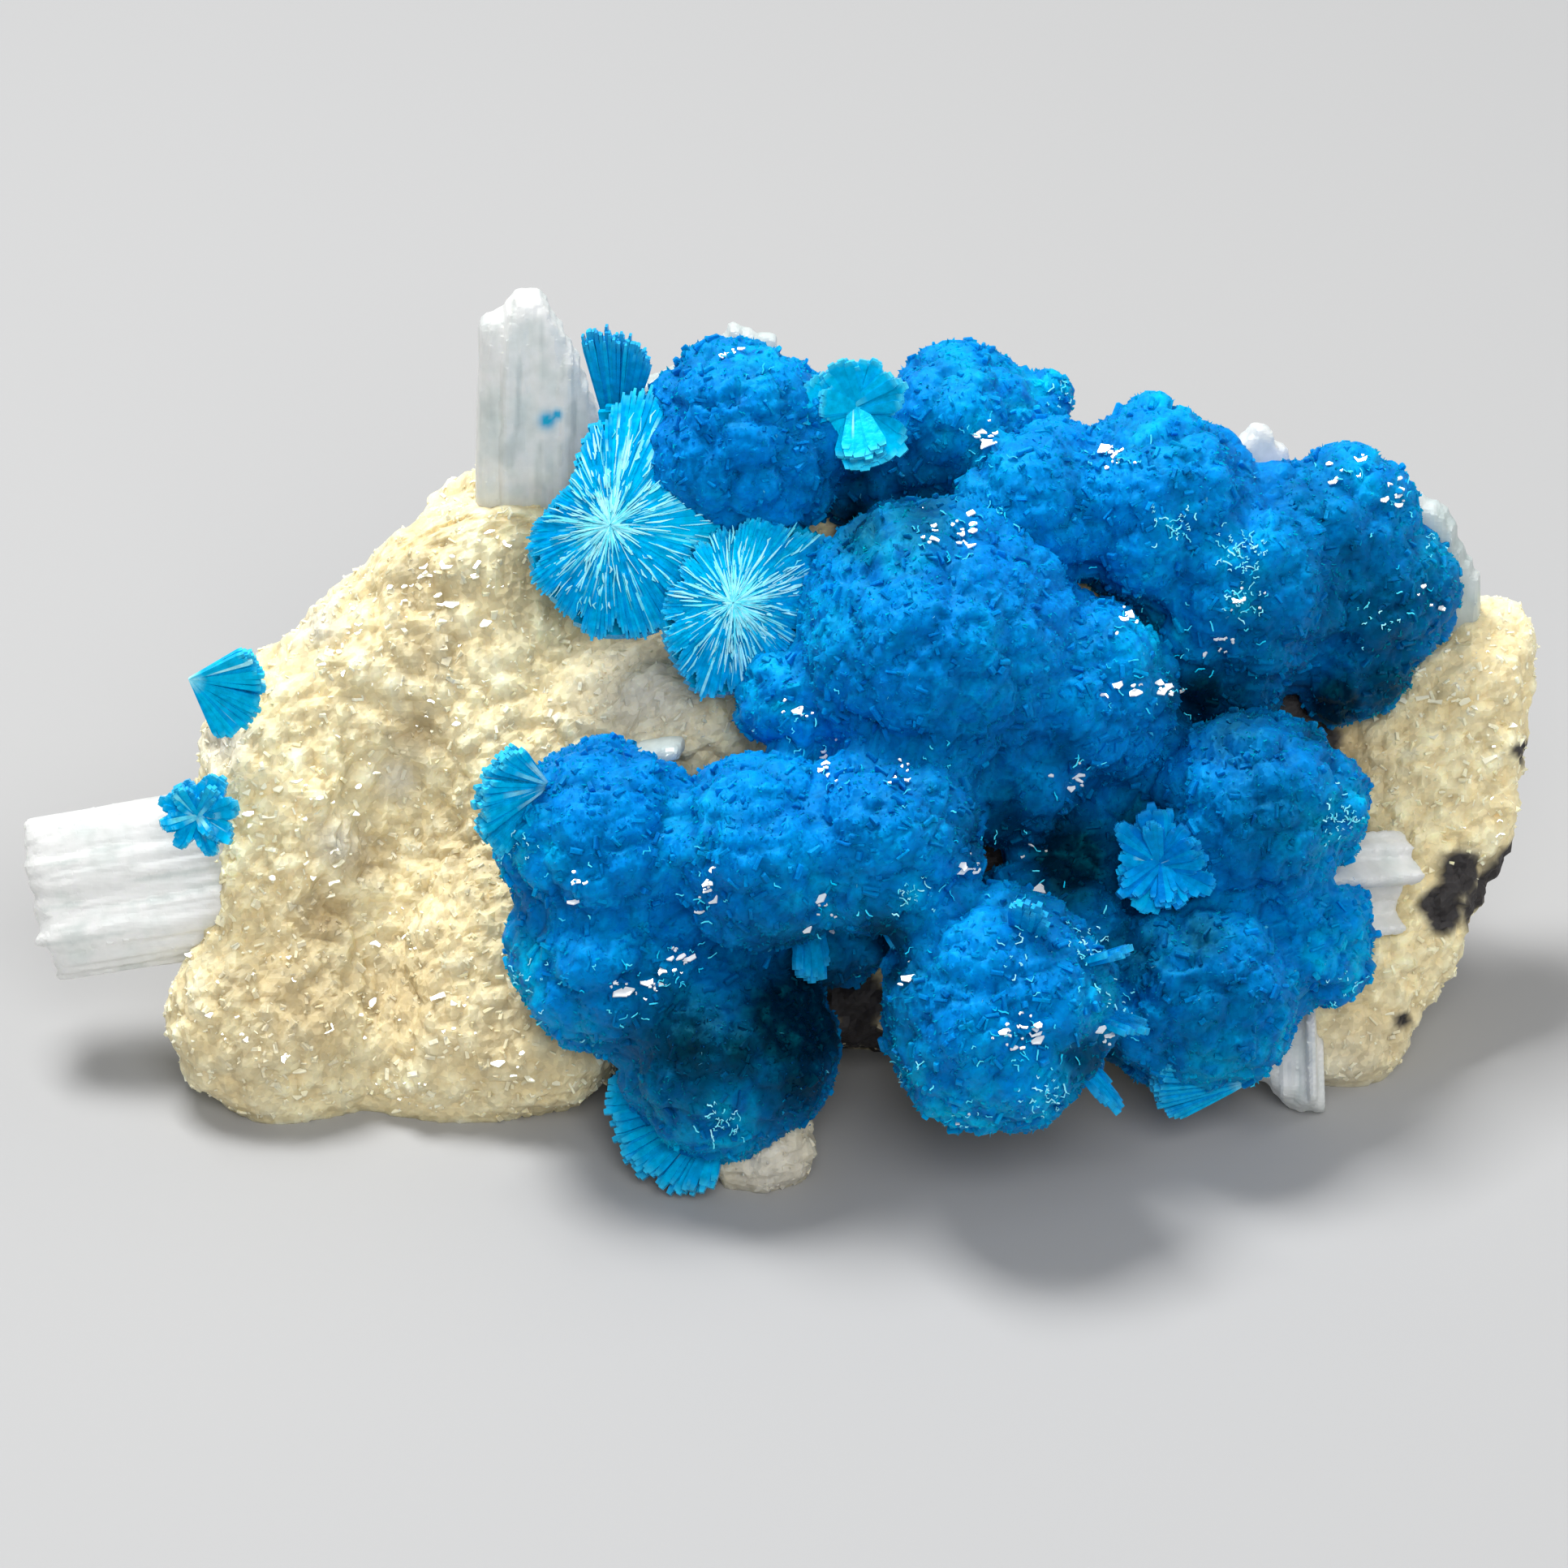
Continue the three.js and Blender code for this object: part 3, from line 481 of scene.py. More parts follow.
def dress(name, material, slot, node, points, faces, tints):
    """A finished piece in place of a solid, from points in millimetres with a tint each, and faces
    that all have the same number of corners."""
    mesh = bpy.data.meshes.new(name)
    mesh.vertices.add(len(points))
    mesh.vertices.foreach_set("co", (points * MM).astype(np.float32).ravel())
    mesh.loops.add(faces.size)
    mesh.loops.foreach_set("vertex_index", faces.astype(np.int32).ravel())
    mesh.polygons.add(len(faces))
    mesh.polygons.foreach_set("loop_start", np.arange(0, faces.size, faces.shape[1], dtype=np.int32))
    mesh.update(calc_edges=True)
    mesh.shade_flat()
    values = np.ones((faces.size, 4), np.float32)
    values[:, :3] = tints[faces.ravel()]
    layer = mesh.color_attributes.new("tint", "FLOAT_COLOR", "CORNER")
    layer.data.foreach_set("color", values.ravel())
    mesh.materials.append(material)
    piece = linked(name, mesh)
    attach(piece, "root")
    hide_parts(node)
    return piece


def joined(parts):
    """One set of points, faces and tints from several."""
    points, faces, tints = zip(*parts)
    starts = np.cumsum([0, *map(len, points[:-1])])
    moved = [part + start for part, start in zip(faces, starts)]
    return np.concatenate(points), np.concatenate(moved), np.concatenate(tints)


def keep_above(points, least):
    points[:, 2] = np.maximum(points[:, 2], least)


def mesh_from(shape):
    mesh = bpy.data.meshes.new("shape")
    shape.to_mesh(mesh)
    shape.free()
    return mesh


def remeshed(mesh, cell, smoothing=0):
    """The points and four-cornered faces of an even skin round a closed mesh."""
    seed = linked("seed", mesh)
    skin = seed.modifiers.new("skin", "REMESH")
    skin.mode = "VOXEL"
    skin.voxel_size = cell * MM
    if smoothing:
        soft = seed.modifiers.new("soft", "SMOOTH")
        soft.factor = 0.5
        soft.iterations = smoothing
    made = seed.evaluated_get(bpy.context.evaluated_depsgraph_get()).to_mesh()
    points = np.empty(len(made.vertices) * 3)
    made.vertices.foreach_get("co", points)
    faces = np.empty(len(made.loops), np.int64)
    made.loops.foreach_get("vertex_index", faces)
    bpy.data.objects.remove(seed)
    bpy.data.meshes.remove(mesh)
    return points.reshape(-1, 3) / MM, faces.reshape(-1, 4)


def face_normals(points, faces):
    """The normal of each four-cornered face, twice as long as its area."""
    a, b, c, d = points[faces.T]
    return np.cross(c - a, d - b)


def normals_of(points, faces):
    """A unit normal at each point."""
    around = face_normals(points, faces)
    normals = np.zeros_like(points)
    for corner in range(4):
        np.add.at(normals, faces[:, corner], around)
    return unit(normals)


def on_faces(points, faces, random):
    """A point by chance on each of these four-cornered faces."""
    a, b, c, d = points[faces.T]
    u, v = random.random((2, len(faces), 1))
    return (a * (1 - u) + b * u) * (1 - v) + (d * (1 - u) + c * u) * v


def outside_of(tree, points):
    """How far each point is outside a closed solid, or inside it where negative."""
    far = np.empty(len(points))
    for i, point in enumerate(points):
        near, normal, _, distance = tree.find_nearest(point)
        far[i] = math.copysign(distance, (Vector(point) - near).dot(normal))
    return far


def tree_of(node):
    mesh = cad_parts[node].data
    corners = [vertex.co / MM for vertex in mesh.vertices]
    return BVHTree.FromPolygons(corners, [list(face.vertices) for face in mesh.polygons])


def swept(paths, side, up, widths, thicks, tints):
    """Flat bars of four-cornered rings along many paths at once. The ways across, the sizes and the
    tints are for each ring, for each bar or for all."""
    count, rings = paths.shape[:2]
    wide = side * np.asarray(widths)[..., None] / 2
    deep = up * np.asarray(thicks)[..., None] / 2
    corners = [paths + a * wide + b * deep for a, b in ((-1, -1), (1, -1), (1, 1), (-1, 1))]
    points = np.stack(corners, axis=2).reshape(-1, 3)
    index = np.arange(count * rings * 4).reshape(count, rings, 4)
    faces = [index[:, 0, ::-1], index[:, -1]]
    near, far = index[:, :-1], index[:, 1:]
    for k in range(4):
        after = (k + 1) % 4
        quads = [near[..., k], near[..., after], far[..., after], far[..., k]]
        faces.append(np.stack(quads, axis=-1).reshape(-1, 4))
    tints = np.broadcast_to(tints, paths.shape).reshape(-1, 3)
    return points, np.concatenate(faces), np.repeat(tints, 4, axis=0)


# Materials

def shader_of(material):
    return material.node_tree.nodes["Principled BSDF"]


def feed(material, node, inputs):
    """Gives the inputs of a node their values, or the outputs of other nodes."""
    for name, value in inputs.items():
        if isinstance(value, bpy.types.NodeSocket):
            material.node_tree.links.new(value, node.inputs[name])
        else:
            node.inputs[name].default_value = value


def added(material, kind, output, inputs, operation=None):
    """An output of a new node."""
    node = material.node_tree.nodes.new("ShaderNode" + kind)
    if operation:
        node.operation = operation
    feed(material, node, inputs)
    return node.outputs[output]


def texture(material, kind, output, width, **inputs):
    """An output of a texture whose features are about as wide as width."""
    place = added(material, "TexCoord", "Object", {})
    return added(material, kind, output, {"Vector": place, "Scale": 1 / (width * MM), **inputs})


def material_of(name, grain, **values):
    """A Principled material with a grain: its width, the strength of its bump and two ends for the
    roughness."""
    material = bpy.data.materials.new(name)
    material.use_nodes = True
    shader = shader_of(material)
    feed(material, shader, {socket.replace("_", " "): value for socket, value in values.items()})
    width, strength, smooth, rough = grain
    height = texture(material, "TexNoise", "Fac", width, Detail=4)
    facing = added(material, "NewGeometry", "Normal", {})
    relief = {"Strength": strength, "Distance": 0.1 * MM, "Height": height, "Normal": facing}
    limits = {"Value": height, "To Min": smooth, "To Max": rough}
    roughness = added(material, "MapRange", "Result", limits)
    bump = added(material, "Bump", "Normal", relief)
    feed(material, shader, {"Normal": bump, "Roughness": roughness})
    return material


def crystals(name, grain, patches=None, facets=(), **values):
    """A material in the tints of its meshes. Patches are a width and two shades, facets a width, a
    tilt and two shades."""
    material = material_of(name, grain, **values)
    tint = material.node_tree.nodes.new("ShaderNodeVertexColor")
    tint.layer_name = "tint"
    feed(material, shader_of(material), {"Base Color": tint.outputs["Color"]})
    if patches:
        width, *shades = patches
        shaded(material, texture(material, "TexNoise", "Fac", width, Detail=3), *shades)
    for width, tilt, *shades in facets:
        cells = texture(material, "TexVoronoi", "Color", width)
        faceted(material, cells, tilt)
        shaded(material, cells, *shades)
    return material


def shaded(material, value, low, high):
    """Lightens and darkens the tint by a value from a texture."""
    shader = shader_of(material)
    tint = shader.inputs["Base Color"].links[0].from_socket
    limits = {"Value": value, "From Min": 0.3, "From Max": 0.7, "To Min": low, "To Max": high}
    scale = added(material, "MapRange", "Result", limits)
    scaled = added(material, "VectorMath", "Vector", {"Vector": tint, "Scale": scale}, "SCALE")
    feed(material, shader, {"Base Color": scaled})


def faceted(material, cells, tilt):
    """Gives each cell a slant of its own, like the ends of fine crystals."""
    bump = shader_of(material).inputs["Normal"].links[0].from_node
    normal = bump.inputs["Normal"].links[0].from_socket
    for operation, inputs in (
        ("SUBTRACT", {1: (0.5, 0.5, 0.5)}), ("SCALE", {"Scale": tilt}), ("ADD", {1: normal}),
        ("NORMALIZE", {}),
    ):
        cells = added(material, "VectorMath", "Vector", {0: cells, **inputs}, operation)
    feed(material, bump, {"Normal": cells})


BLUE_GLOSS = (0, 0.75, 1, 1)  # light that comes back out of the crystals is blue as well
VELVET = crystals(
    "cavansite_blades", grain=(0.2, 0.2, 0.45, 0.75), patches=(0.5, 0.92, 1.08),
    facets=[(0.22, 0.3, 0.92, 1.08)], IOR=1.55, Specular_Tint=BLUE_GLOSS, Subsurface_Weight=0.45,
    Subsurface_Scale=0.8 * MM, Subsurface_Radius=(0.1, 0.6, 1),
)
NEEDLES = crystals(
    "cavansite_needles", grain=(0.4, 0.3, 0.15, 0.4), patches=(0.4, 0.8, 1.2), IOR=1.55,
    Specular_Tint=BLUE_GLOSS,
)
FACETS = crystals("bright_facets", grain=(0.4, 0.05, 0.04, 0.12), IOR=1.6)
STILBITE = crystals(
    "stilbite", grain=(0.8, 0.35, 0.2, 0.5), patches=(0.7, 0.93, 1.07), IOR=1.5,
    Transmission_Weight=0.3, Subsurface_Weight=0.4, Subsurface_Scale=2 * MM,
    Subsurface_Radius=(1, 1, 1),
)


def druse_like(name, depth):
    """Cream crystals that let light in to a depth in millimetres."""
    return crystals(
        name, grain=(0.3, 0.4, 0.5, 0.85), patches=(1.2, 0.9, 1.1),
        facets=[(0.75, 0.12, 0.97, 1.03), (0.32, 0.35, 0.92, 1.08)], IOR=1.5,
        Subsurface_Weight=0.6, Subsurface_Scale=depth * MM, Subsurface_Radius=(1, 0.85, 0.6),
    )


DRUSE = druse_like("druse", 0.8)
DRUSE_CRYSTALS = druse_like("druse_crystals", 0.12)


# Cavansite balls

def ball_skin(balls):
    shell = bmesh.new()
    for x, y, z, radius in balls:
        place = Matrix.Translation(Vector((x, y, z)) * MM)
        bmesh.ops.create_icosphere(shell, subdivisions=4, radius=radius * MM, matrix=place)
    return remeshed(mesh_from(shell), SKIN_CELL)


def radial(points, balls):
    """The way out of the ball nearest to each point, and how far outside it the point is."""
    least = np.full(len(points), np.inf)
    way = np.zeros_like(points)
    for x, y, z, radius in balls:
        away = points - np.array([x, y, z])
        gap = np.linalg.norm(away, axis=1) - radius
        nearer = gap < least
        least[nearer] = gap[nearer]
        way[nearer] = away[nearer]
    return unit(way), least


def bundled(points, balls):
    """The skin of the balls with its lobes and bundles of blades, and the tint of each point."""
    way, _ = radial(points, balls)
    _, lobe_middle, lobe_edge = bundles(points, *LOBES)
    slant, middle, edge = bundles(points, *BUNDLES)
    tuft, _, _ = bundles(points, *TUFTS)
    lobe = 0.6 - 1.7 * lobe_middle ** 2
    bundle = 0.5 * slant + 0.3 - 0.8 * middle ** 2
    relief = LOBE_HEIGHT * lobe + BUNDLE_HEIGHT * bundle + TUFT_HEIGHT * tuft - SKIN_SUNK
    shade = 0.5 + 0.35 * noise(points, *BALL_SHADES) + 0.25 * slant + 0.15 * tuft
    tints = mixed(BLUE, BLUE_LIT, shade)
    rim = np.exp(-((edge - RIM_PLACE) / RIM_WIDTH) ** 2) * (0.1 + 0.35 * noise(points, *PALE_RIMS))
    tints = mixed(tints, CYAN, rim)
    # Painted shade: darker in the creases between lobes and between bundles
    tints = mixed(tints, BLUE_PAINTED_SHADE, 0.55 * np.exp(-7 * lobe_edge) + 0.25 * np.exp(-9 * edge))
    patches = np.clip(0.5 + 1.3 * noise(points, *CYAN_PATCHES), 0, 1)
    # Cyan where the crystal edges are thin, partly painted glow of light shining through them
    tints = mixed(tints, CYAN, nearness(points, way, CYAN_AND_GLOW_PLACES) * patches)
    # Painted shadow at the listed places that lie in shade
    tints = mixed(tints, BLUE_PAINTED_SHADOW, nearness(points, way, PAINTED_SHADE_PLACES))
    return points + way * relief[:, None], tints


def nearness(points, ways, places):
    """How much of the strength of places in the frame reaches the points that face the front."""
    away = points - EYE
    scale = FRAME * LENS / SENSOR / (away @ LOOK)
    across = FRAME / 2 + scale * (away @ RIGHT)
    down = FRAME / 2 - scale * (away @ UP)
    share = np.zeros(len(points))
    for x, y, radius, most in places:
        near = np.exp(-((across - x) ** 2 + (down - y) ** 2) / radius ** 2)
        share = np.maximum(share, most * near)
    return share * np.clip(-2 * (ways @ LOOK) + 0.5, 0, 1)


def slabs(spots, ways, tints, random):
    """Wider blades with a square end."""
    count = len(spots)
    side, up = sideways(ways, random)
    rises = between(SLAB_RISE, random.random((count, 1)))
    steps = np.concatenate([np.full((count, 1), -BLADE_DEPTH), rises - 0.12, rises], axis=1)
    paths = spots[:, None] + ways[:, None] * steps[..., None]
    widths = between(SLAB_WIDTH, random.random((count, 1)) ** 2) * [0.5, 1, 0.85]
    thicks = between(SLAB_THICK, random.random((count, 1))) * [0.5, 1, 0.7]
    ends = tints * between(BLADE_SHADES, random.random((count, 1)))
    tints = np.stack([tints, ends, ends], axis=1)
    return swept(paths, side[:, None], up[:, None], widths, thicks, tints)


def blades(spots, ways, tints, bright, random):
    """Blades with a sharp slanting end, whose root runs across it, each with a chance to be bright."""
    count = len(spots)
    rises = between(BLADE_RISE, random.random(count) ** 2)
    widths = between(BLADE_WIDTH, random.random(count))
    thicks = between(BLADE_THICK, random.random(count))
    wide_way, thick_way = sideways(ways, random)
    half = wide_way * (widths / 2)[:, None]
    lean = widths / 2 * random.normal(0, 0.6, count)
    corners = [spots + a * half + ways * (rises + a * lean)[:, None] for a in (-1, 1)]
    root = spots - ways * BLADE_DEPTH
    corners += [root + thick_way * (b * thicks)[:, None] for b in (-1, 1)]
    points = np.stack(corners, axis=1).reshape(-1, 3)
    pattern = np.array([[0, 2, 1], [0, 1, 3], [0, 3, 2], [1, 2, 3]])
    faces = (np.arange(count)[:, None, None] * 4 + pattern).reshape(-1, 3)
    ends = tints * between(BLADE_SHADES, random.random((count, 1)))
    chosen = random.random(count) < bright
    ends[chosen] = mixed(BLUE_LIT, CYAN_PALE, 0.7 * random.random(chosen.sum()))
    return points, faces, np.stack([ends, ends, tints, tints], axis=1).reshape(-1, 3)


def ball_cluster(name, node, balls, rock, seed):
    random = chance(seed)
    skin, faces = ball_skin(balls)
    skin, tints = bundled(skin, balls)
    keep_above(skin, BALL_FLOOR)
    dress(name + "_skin", VELVET, "cavansite", node, skin, faces, tints).data.shade_smooth()

    per_cell = BLADES_PER_CELL + SLABS_PER_CELL
    picked = faces[random.integers(0, len(faces), int(len(faces) * per_cell))]
    spots, corners = on_faces(skin, picked, random), picked[:, 0]
    others = [ball for ball in ALL_BALLS if ball not in balls]
    seen = (outside_of(rock, spots) > PAST_ROCK) & (radial(spots, others)[1] > PAST_BALLS)
    seen &= spots[:, 2] > PAST_GROUND
    spots, corners = spots[seen], corners[seen]
    ways = unit(radial(spots, balls)[0] + 0.7 * normals_of(skin, faces)[corners])
    ways = unit(ways + random.normal(0, 0.2, ways.shape))
    tints = tints[corners]
    bright = BRIGHT_BLADES * (1 + 2 * noise(spots, 2.5, seed + 3))
    wide = int(len(spots) * SLABS_PER_CELL / per_cell)
    made = {
        "_slabs": slabs(spots[:wide], ways[:wide], tints[:wide], random),
        "_blades": blades(spots[wide:], ways[wide:], tints[wide:], bright[wide:], random),
    }
    for kind, parts in made.items():
        keep_above(parts[0], BALL_FLOOR)
        dress(name + kind, VELVET, "cavansite", node, *parts)
    return skin, faces


def seen_at(tree, places, spread, random):
    """Points just in front of a skin, seen from the front in pairs round places in the frame."""
    slope = SENSOR / LENS / FRAME
    spots = []
    for x, y, pairs in places:
        for across, down in random.normal(0, spread, (pairs * 2, 2)) + [x, y] - FRAME / 2:
            ray = unit(LOOK + RIGHT * across * slope - UP * down * slope)
            hit = tree.ray_cast(Vector(EYE), Vector(ray))[0]
            if hit is not None:
                spots.append(np.array(hit) - ray * GLINT_RISE)
    return np.array(spots)


def glints(name, slot, node, spots, tint, random):
    """Small bright facets where the front sparkles, turned between the key light and the eye."""
    count = len(spots)
    half = unit(unit(np.array(KEY_PLACE) - spots) - LOOK)
    normals = unit(half + random.normal(0, 0.03, (count, 3)))
    side = unit(np.cross(normals, GLINT_LEAN + random.normal(0, 0.4, (count, 3))))
    other = np.cross(side, normals)
    sizes = between(GLINT_SIZE, random.random((count, 1)) ** 3)
    paths = np.stack([spots - other * sizes / 2, spots, spots + other * sizes / 2], axis=1)
    paths[:, 1] += side * sizes * random.normal(0, 0.2, (count, 1))
    widths = sizes * random.random((count, 3)) * [0.4, 0.8, 0.4] + 0.03
    made = swept(paths, side[:, None], normals[:, None], widths, GLINT_THICK, tint)
    dress(name, FACETS, slot, node, *made)


def flecks(name, spots, lengths, dull, pale, random):
    """Thin pale lines, the lit edges of blades, with tints from dull to pale."""
    count = len(spots)
    side, along = sideways(np.broadcast_to(-LOOK, spots.shape), random)
    length = between(lengths, random.random((count, 1)) ** 2)
    steps = np.array([-0.5, -0.15, 0.2, 0.5])
    paths = spots[:, None] + (along * length)[:, None] * steps[:, None]
    paths = paths + side[:, None] * random.normal(0, 0.05, (count, 4, 1))
    tints = mixed(dull, pale, random.random((count, 1)))
    widths = 0.03 + 0.05 * random.random((count, 4))
    made = swept(paths, side[:, None], -LOOK, widths, FLECK_THICK, tints)
    dress(name, NEEDLES, "cavansite", "cavansite_front_cluster", *made)


# Needles, for the rosettes, fans and sprays

UPRIGHT = np.array([0.0, 0.0, 1.0])


def turn_to(facing):
    return np.array(Vector(UPRIGHT).rotation_difference(Vector(facing)).to_matrix())


def streaked(shares, white, pale, random):
    """Tints along needles: blue to cyan, and white part way along a share of them."""
    count, rings = shares.shape
    own = random.random((count, 1)) + random.normal(0, 0.15, (count, rings))
    body = mixed(mixed(BLUE, CYAN, pale + 0.5 * own), CYAN_PALE, (0.1 + 0.5 * pale) * (shares > 0.95))
    start = 0.6 * random.random((count, 1)) ** 1.6
    end = start + 0.12 + 0.5 * random.random((count, 1)) ** 2
    run = (random.random((count, 1)) < white) & (shares > start) & (shares < end)
    lit = np.where(run | (shares < 0.06), 0.75 + 0.25 * random.random((count, rings)), 0)
    return mixed(body, mixed(CYAN_PALE, WHITE_BLUE, own), lit)


def round_values(values, angles):
    """Values listed at even angles, read at any angle."""
    return np.interp(angles / (2 * np.pi) * len(values), np.arange(len(values) + 1), [*values, values[0]])


def round_paths(angles, out, height):
    """Paths that run out from the middle at their angles, and the ways across them."""
    angles = np.broadcast_to(angles, out.shape)
    side = np.stack([-np.sin(angles), np.cos(angles), 0 * angles], axis=-1)
    return np.stack([out * np.cos(angles), out * np.sin(angles), height], axis=-1), side


def disc_of_needles(spec, count, random):
    """Needles side by side over a low dome, in lobes with toothed ends."""
    mean = np.mean(spec["reach"])
    number = np.arange(count)
    angles = (number + random.random(count)) / count * 2 * np.pi
    lobe = angles / (2 * np.pi) * ROSETTE_LOBES + 0.3 * np.sin(3 * angles)
    notch = np.abs(lobe % 1 - 0.5) * 2
    tooth = np.abs(np.sin(number * 0.6 + 2 * np.sin(number * 0.07)))
    full = round_values(spec["reach"], angles) * (1.02 - 0.2 * notch ** 4) * (0.92 + 0.08 * tooth)
    full = full * (1 - 0.05 * random.random(count))
    shares = np.tile([0.0, 0.12, 0.22, 0.34, 0.46, 0.58, 0.7, 0.82, 0.92, 1.0], (count, 1))
    out = shares * full[:, None]
    step = lattice(np.floor(lobe).astype(np.int64)[:, None] * [1, 0, 0], 4)
    layer = 0.16 * step + 0.12 * random.random(count)
    height = 0.25 + layer[:, None] * shares + random.normal(0, 0.02, shares.shape)
    height = height - DOME * mean * (out / mean) ** 2
    paths, side = round_paths(angles[:, None], out, height)
    widths = 2 * np.pi * out / count * 1.6 + 0.04
    widths[:, -1] *= NARROW_END
    white = round_values(spec["white"], angles)[:, None]
    return swept(paths, side, UPRIGHT, widths, 0.2, streaked(shares, 0.7 * white, 0.35, random))


def cone_under(spec, count, random):
    """Wider needles from the foot of the rosette to just behind its rim."""
    mean = np.mean(spec["reach"])
    angles = (np.arange(count) + 0.5 * random.random(count)) / count * 2 * np.pi
    full = round_values(spec["reach"], angles)
    shares = np.tile([0.03, 0.3, 0.6, 0.95], (count, 1))
    out = shares * full[:, None]
    foot = -CONE_DEPTH * mean
    rim = -DOME * full ** 2 / mean - 0.25
    height = foot + (rim - foot)[:, None] * shares ** 0.8
    paths, side = round_paths(angles[:, None], out, height)
    up = unit(np.cross(np.gradient(paths, axis=1), side))
    widths = 2 * np.pi * out / count * 1.5 + 0.1
    # Painted shade: the cone's needles are darker towards the foot, under the disc
    return swept(paths, side, up, widths, 0.5, mixed(BLUE_PAINTED_SHADE, CYAN, shares * 0.9))


def slivers(spec, count, random):
    """Fine white slivers that lie along the needles, close together in the middle."""
    mean = np.mean(spec["reach"])
    angles = random.random(count) * 2 * np.pi
    angles = angles[random.random(count) < 0.15 + round_values(spec["white"], angles)]
    count = len(angles)
    full = round_values(spec["reach"], angles)
    start = full * (0.01 + 0.75 * random.random(count) ** 2.2)
    length = 0.3 + 1.6 * random.random(count) ** 2
    out = start[:, None] + length[:, None] * np.array([0, 0.5, 1])
    out = np.minimum(out, 0.97 * full[:, None])
    bend = angles[:, None] + random.normal(0, 0.015, (count, 3))
    height = 0.4 + 0.1 * random.random((count, 1)) - DOME * mean * (out / mean) ** 2
    paths, side = round_paths(bend, out, height)
    widths = np.array([0.4, 1, 0.3]) * between((0.04, 0.12), random.random((count, 1)))
    tints = mixed(CYAN_PALE, WHITE_BLUE, random.random((count, 1)))
    return swept(paths, side, UPRIGHT, widths, 0.12, tints)


def rosette(spec, random):
    disc = disc_of_needles(spec, DISC_NEEDLES, random)
    cone = cone_under(spec, CONE_NEEDLES, random)
    points, faces, tints = joined([disc, cone, slivers(spec, SLIVERS, random)])
    return points @ turn_to(spec["facing"]).T + np.array(spec["at"]), faces, tints


def fan(spec, count, random):
    """Needles that fan out from a point between two edges, with round, toothed ends."""
    first, last = (np.array(edge, float) for edge in spec["edges"])
    lengths = np.linalg.norm([first, last], axis=1)
    share = (np.arange(count) + random.random(count)) / count
    ways = unit(unit(first) * (1 - share)[:, None] + unit(last) * share[:, None])
    blunt = spec.get("blunt", FAN_BLUNT)
    round_end = blunt + (1 - blunt) * np.sin(share * np.pi) ** 0.7
    toothed = 0.94 + 0.1 * random.random(count)
    full = (lengths[0] * (1 - share) + lengths[1] * share) * round_end * toothed
    normal = unit(np.cross(first, last))
    shares = np.tile([0.0, 0.25, 0.5, 0.75, 0.92, 1.0], (count, 1))
    spread = (random.random(count) - 0.5) * spec["thick"]
    out = shares * full[:, None]
    paths = np.array(spec["apex"]) + ways[:, None] * out[..., None]
    paths = paths + normal * (spread[:, None] * shares ** 0.7)[..., None]
    side = unit(np.cross(normal, ways))[:, None]
    angle = np.arccos(np.clip(unit(first) @ unit(last), -1, 1))
    widths = out * angle / count * 3 + 0.08
    widths[:, -1] *= NARROW_END
    tints = streaked(shares, *spec["look"], random)
    return swept(paths, side, normal, widths, 0.15 * (1 + shares), tints)


def petals(spec, random):
    """Petals of needles round one point, of which the inner ones stand up from the rest."""
    turn = turn_to(spec["facing"])
    made = []
    for ring, lift in ((spec["petals"], 0.1), (spec["petals"] // 2, spec["lift"])):
        for i in range(ring):
            angle = (i + 0.5 * random.random()) / ring * 2 * math.pi
            length = spec["reach"] * (0.7 + 0.4 * random.random()) * (1 - 0.25 * lift)
            back = 0.35 * length
            spread = (1.7 + random.random()) / spec["petals"]
            rise = lift + 0.2 * random.random()
            turns = angle + np.array([-spread, 0, spread])
            ways = unit(np.stack([np.cos(turns), np.sin(turns), [rise] * 3], axis=1)) @ turn.T
            foot = np.array(spec["at"]) - ways[1] * back
            edges = ways[::2] * (length + back)
            petal = dict(spec, apex=foot, edges=edges, thick=PETAL_THICK)
            made.append(fan(petal, PETAL_NEEDLES, random))
    return joined(made)


def plates(random):
    """Plates made of needles side by side, that stand out of the balls."""
    made = []
    for start, end, width in FRONT_PLATES:
        way = np.array(end, float) - np.array(start)
        across = unit(np.cross(way, [0.3, 0.2, 1])) * width / 2
        edges = (way + across, way - across)
        plate = dict(apex=start, edges=edges, thick=PETAL_THICK, look=(0.05, 0.15))
        made.append(fan(plate, PLATE_NEEDLES, random))
    return joined(made)


# Stilbite

def laths_of(spec, along, across, normal, random):
    """Laths side by side, melted together."""
    length, width, thick = spec["size"]
    count = max(4, round(width / LATH_WIDTH))
    sides = (np.arange(count) + 0.5) / count - 0.5
    knots = (np.arange(len(spec["ends"])) + 0.5) / len(spec["ends"]) - 0.5
    reach = length * (np.interp(sides, knots, spec["ends"]) + random.normal(0, 0.012, count))
    shift = spec.get("ragged", 0.03) * thick * random.normal(size=count)
    centres = np.array(spec["at"]) + across * (sides * width)[:, None] + normal * shift[:, None]
    paths = centres[:, None] + along * (reach[:, None] * [0, 0.5, 0.8, 0.94, 1])[..., None]
    thicks = thick * (1 - 0.5 * (2 * sides[:, None]) ** 4) * [1, 1, 0.95, 0.85, 0.6]
    points, faces, _ = swept(paths, across, normal, 1.25 * width / count, thicks, STILBITE_WHITE)
    mesh = bpy.data.meshes.new("laths")
    mesh.from_pydata((points * MM).tolist(), [], faces.tolist())
    return remeshed(mesh, STILBITE_CELL, STILBITE_SMOOTHING)


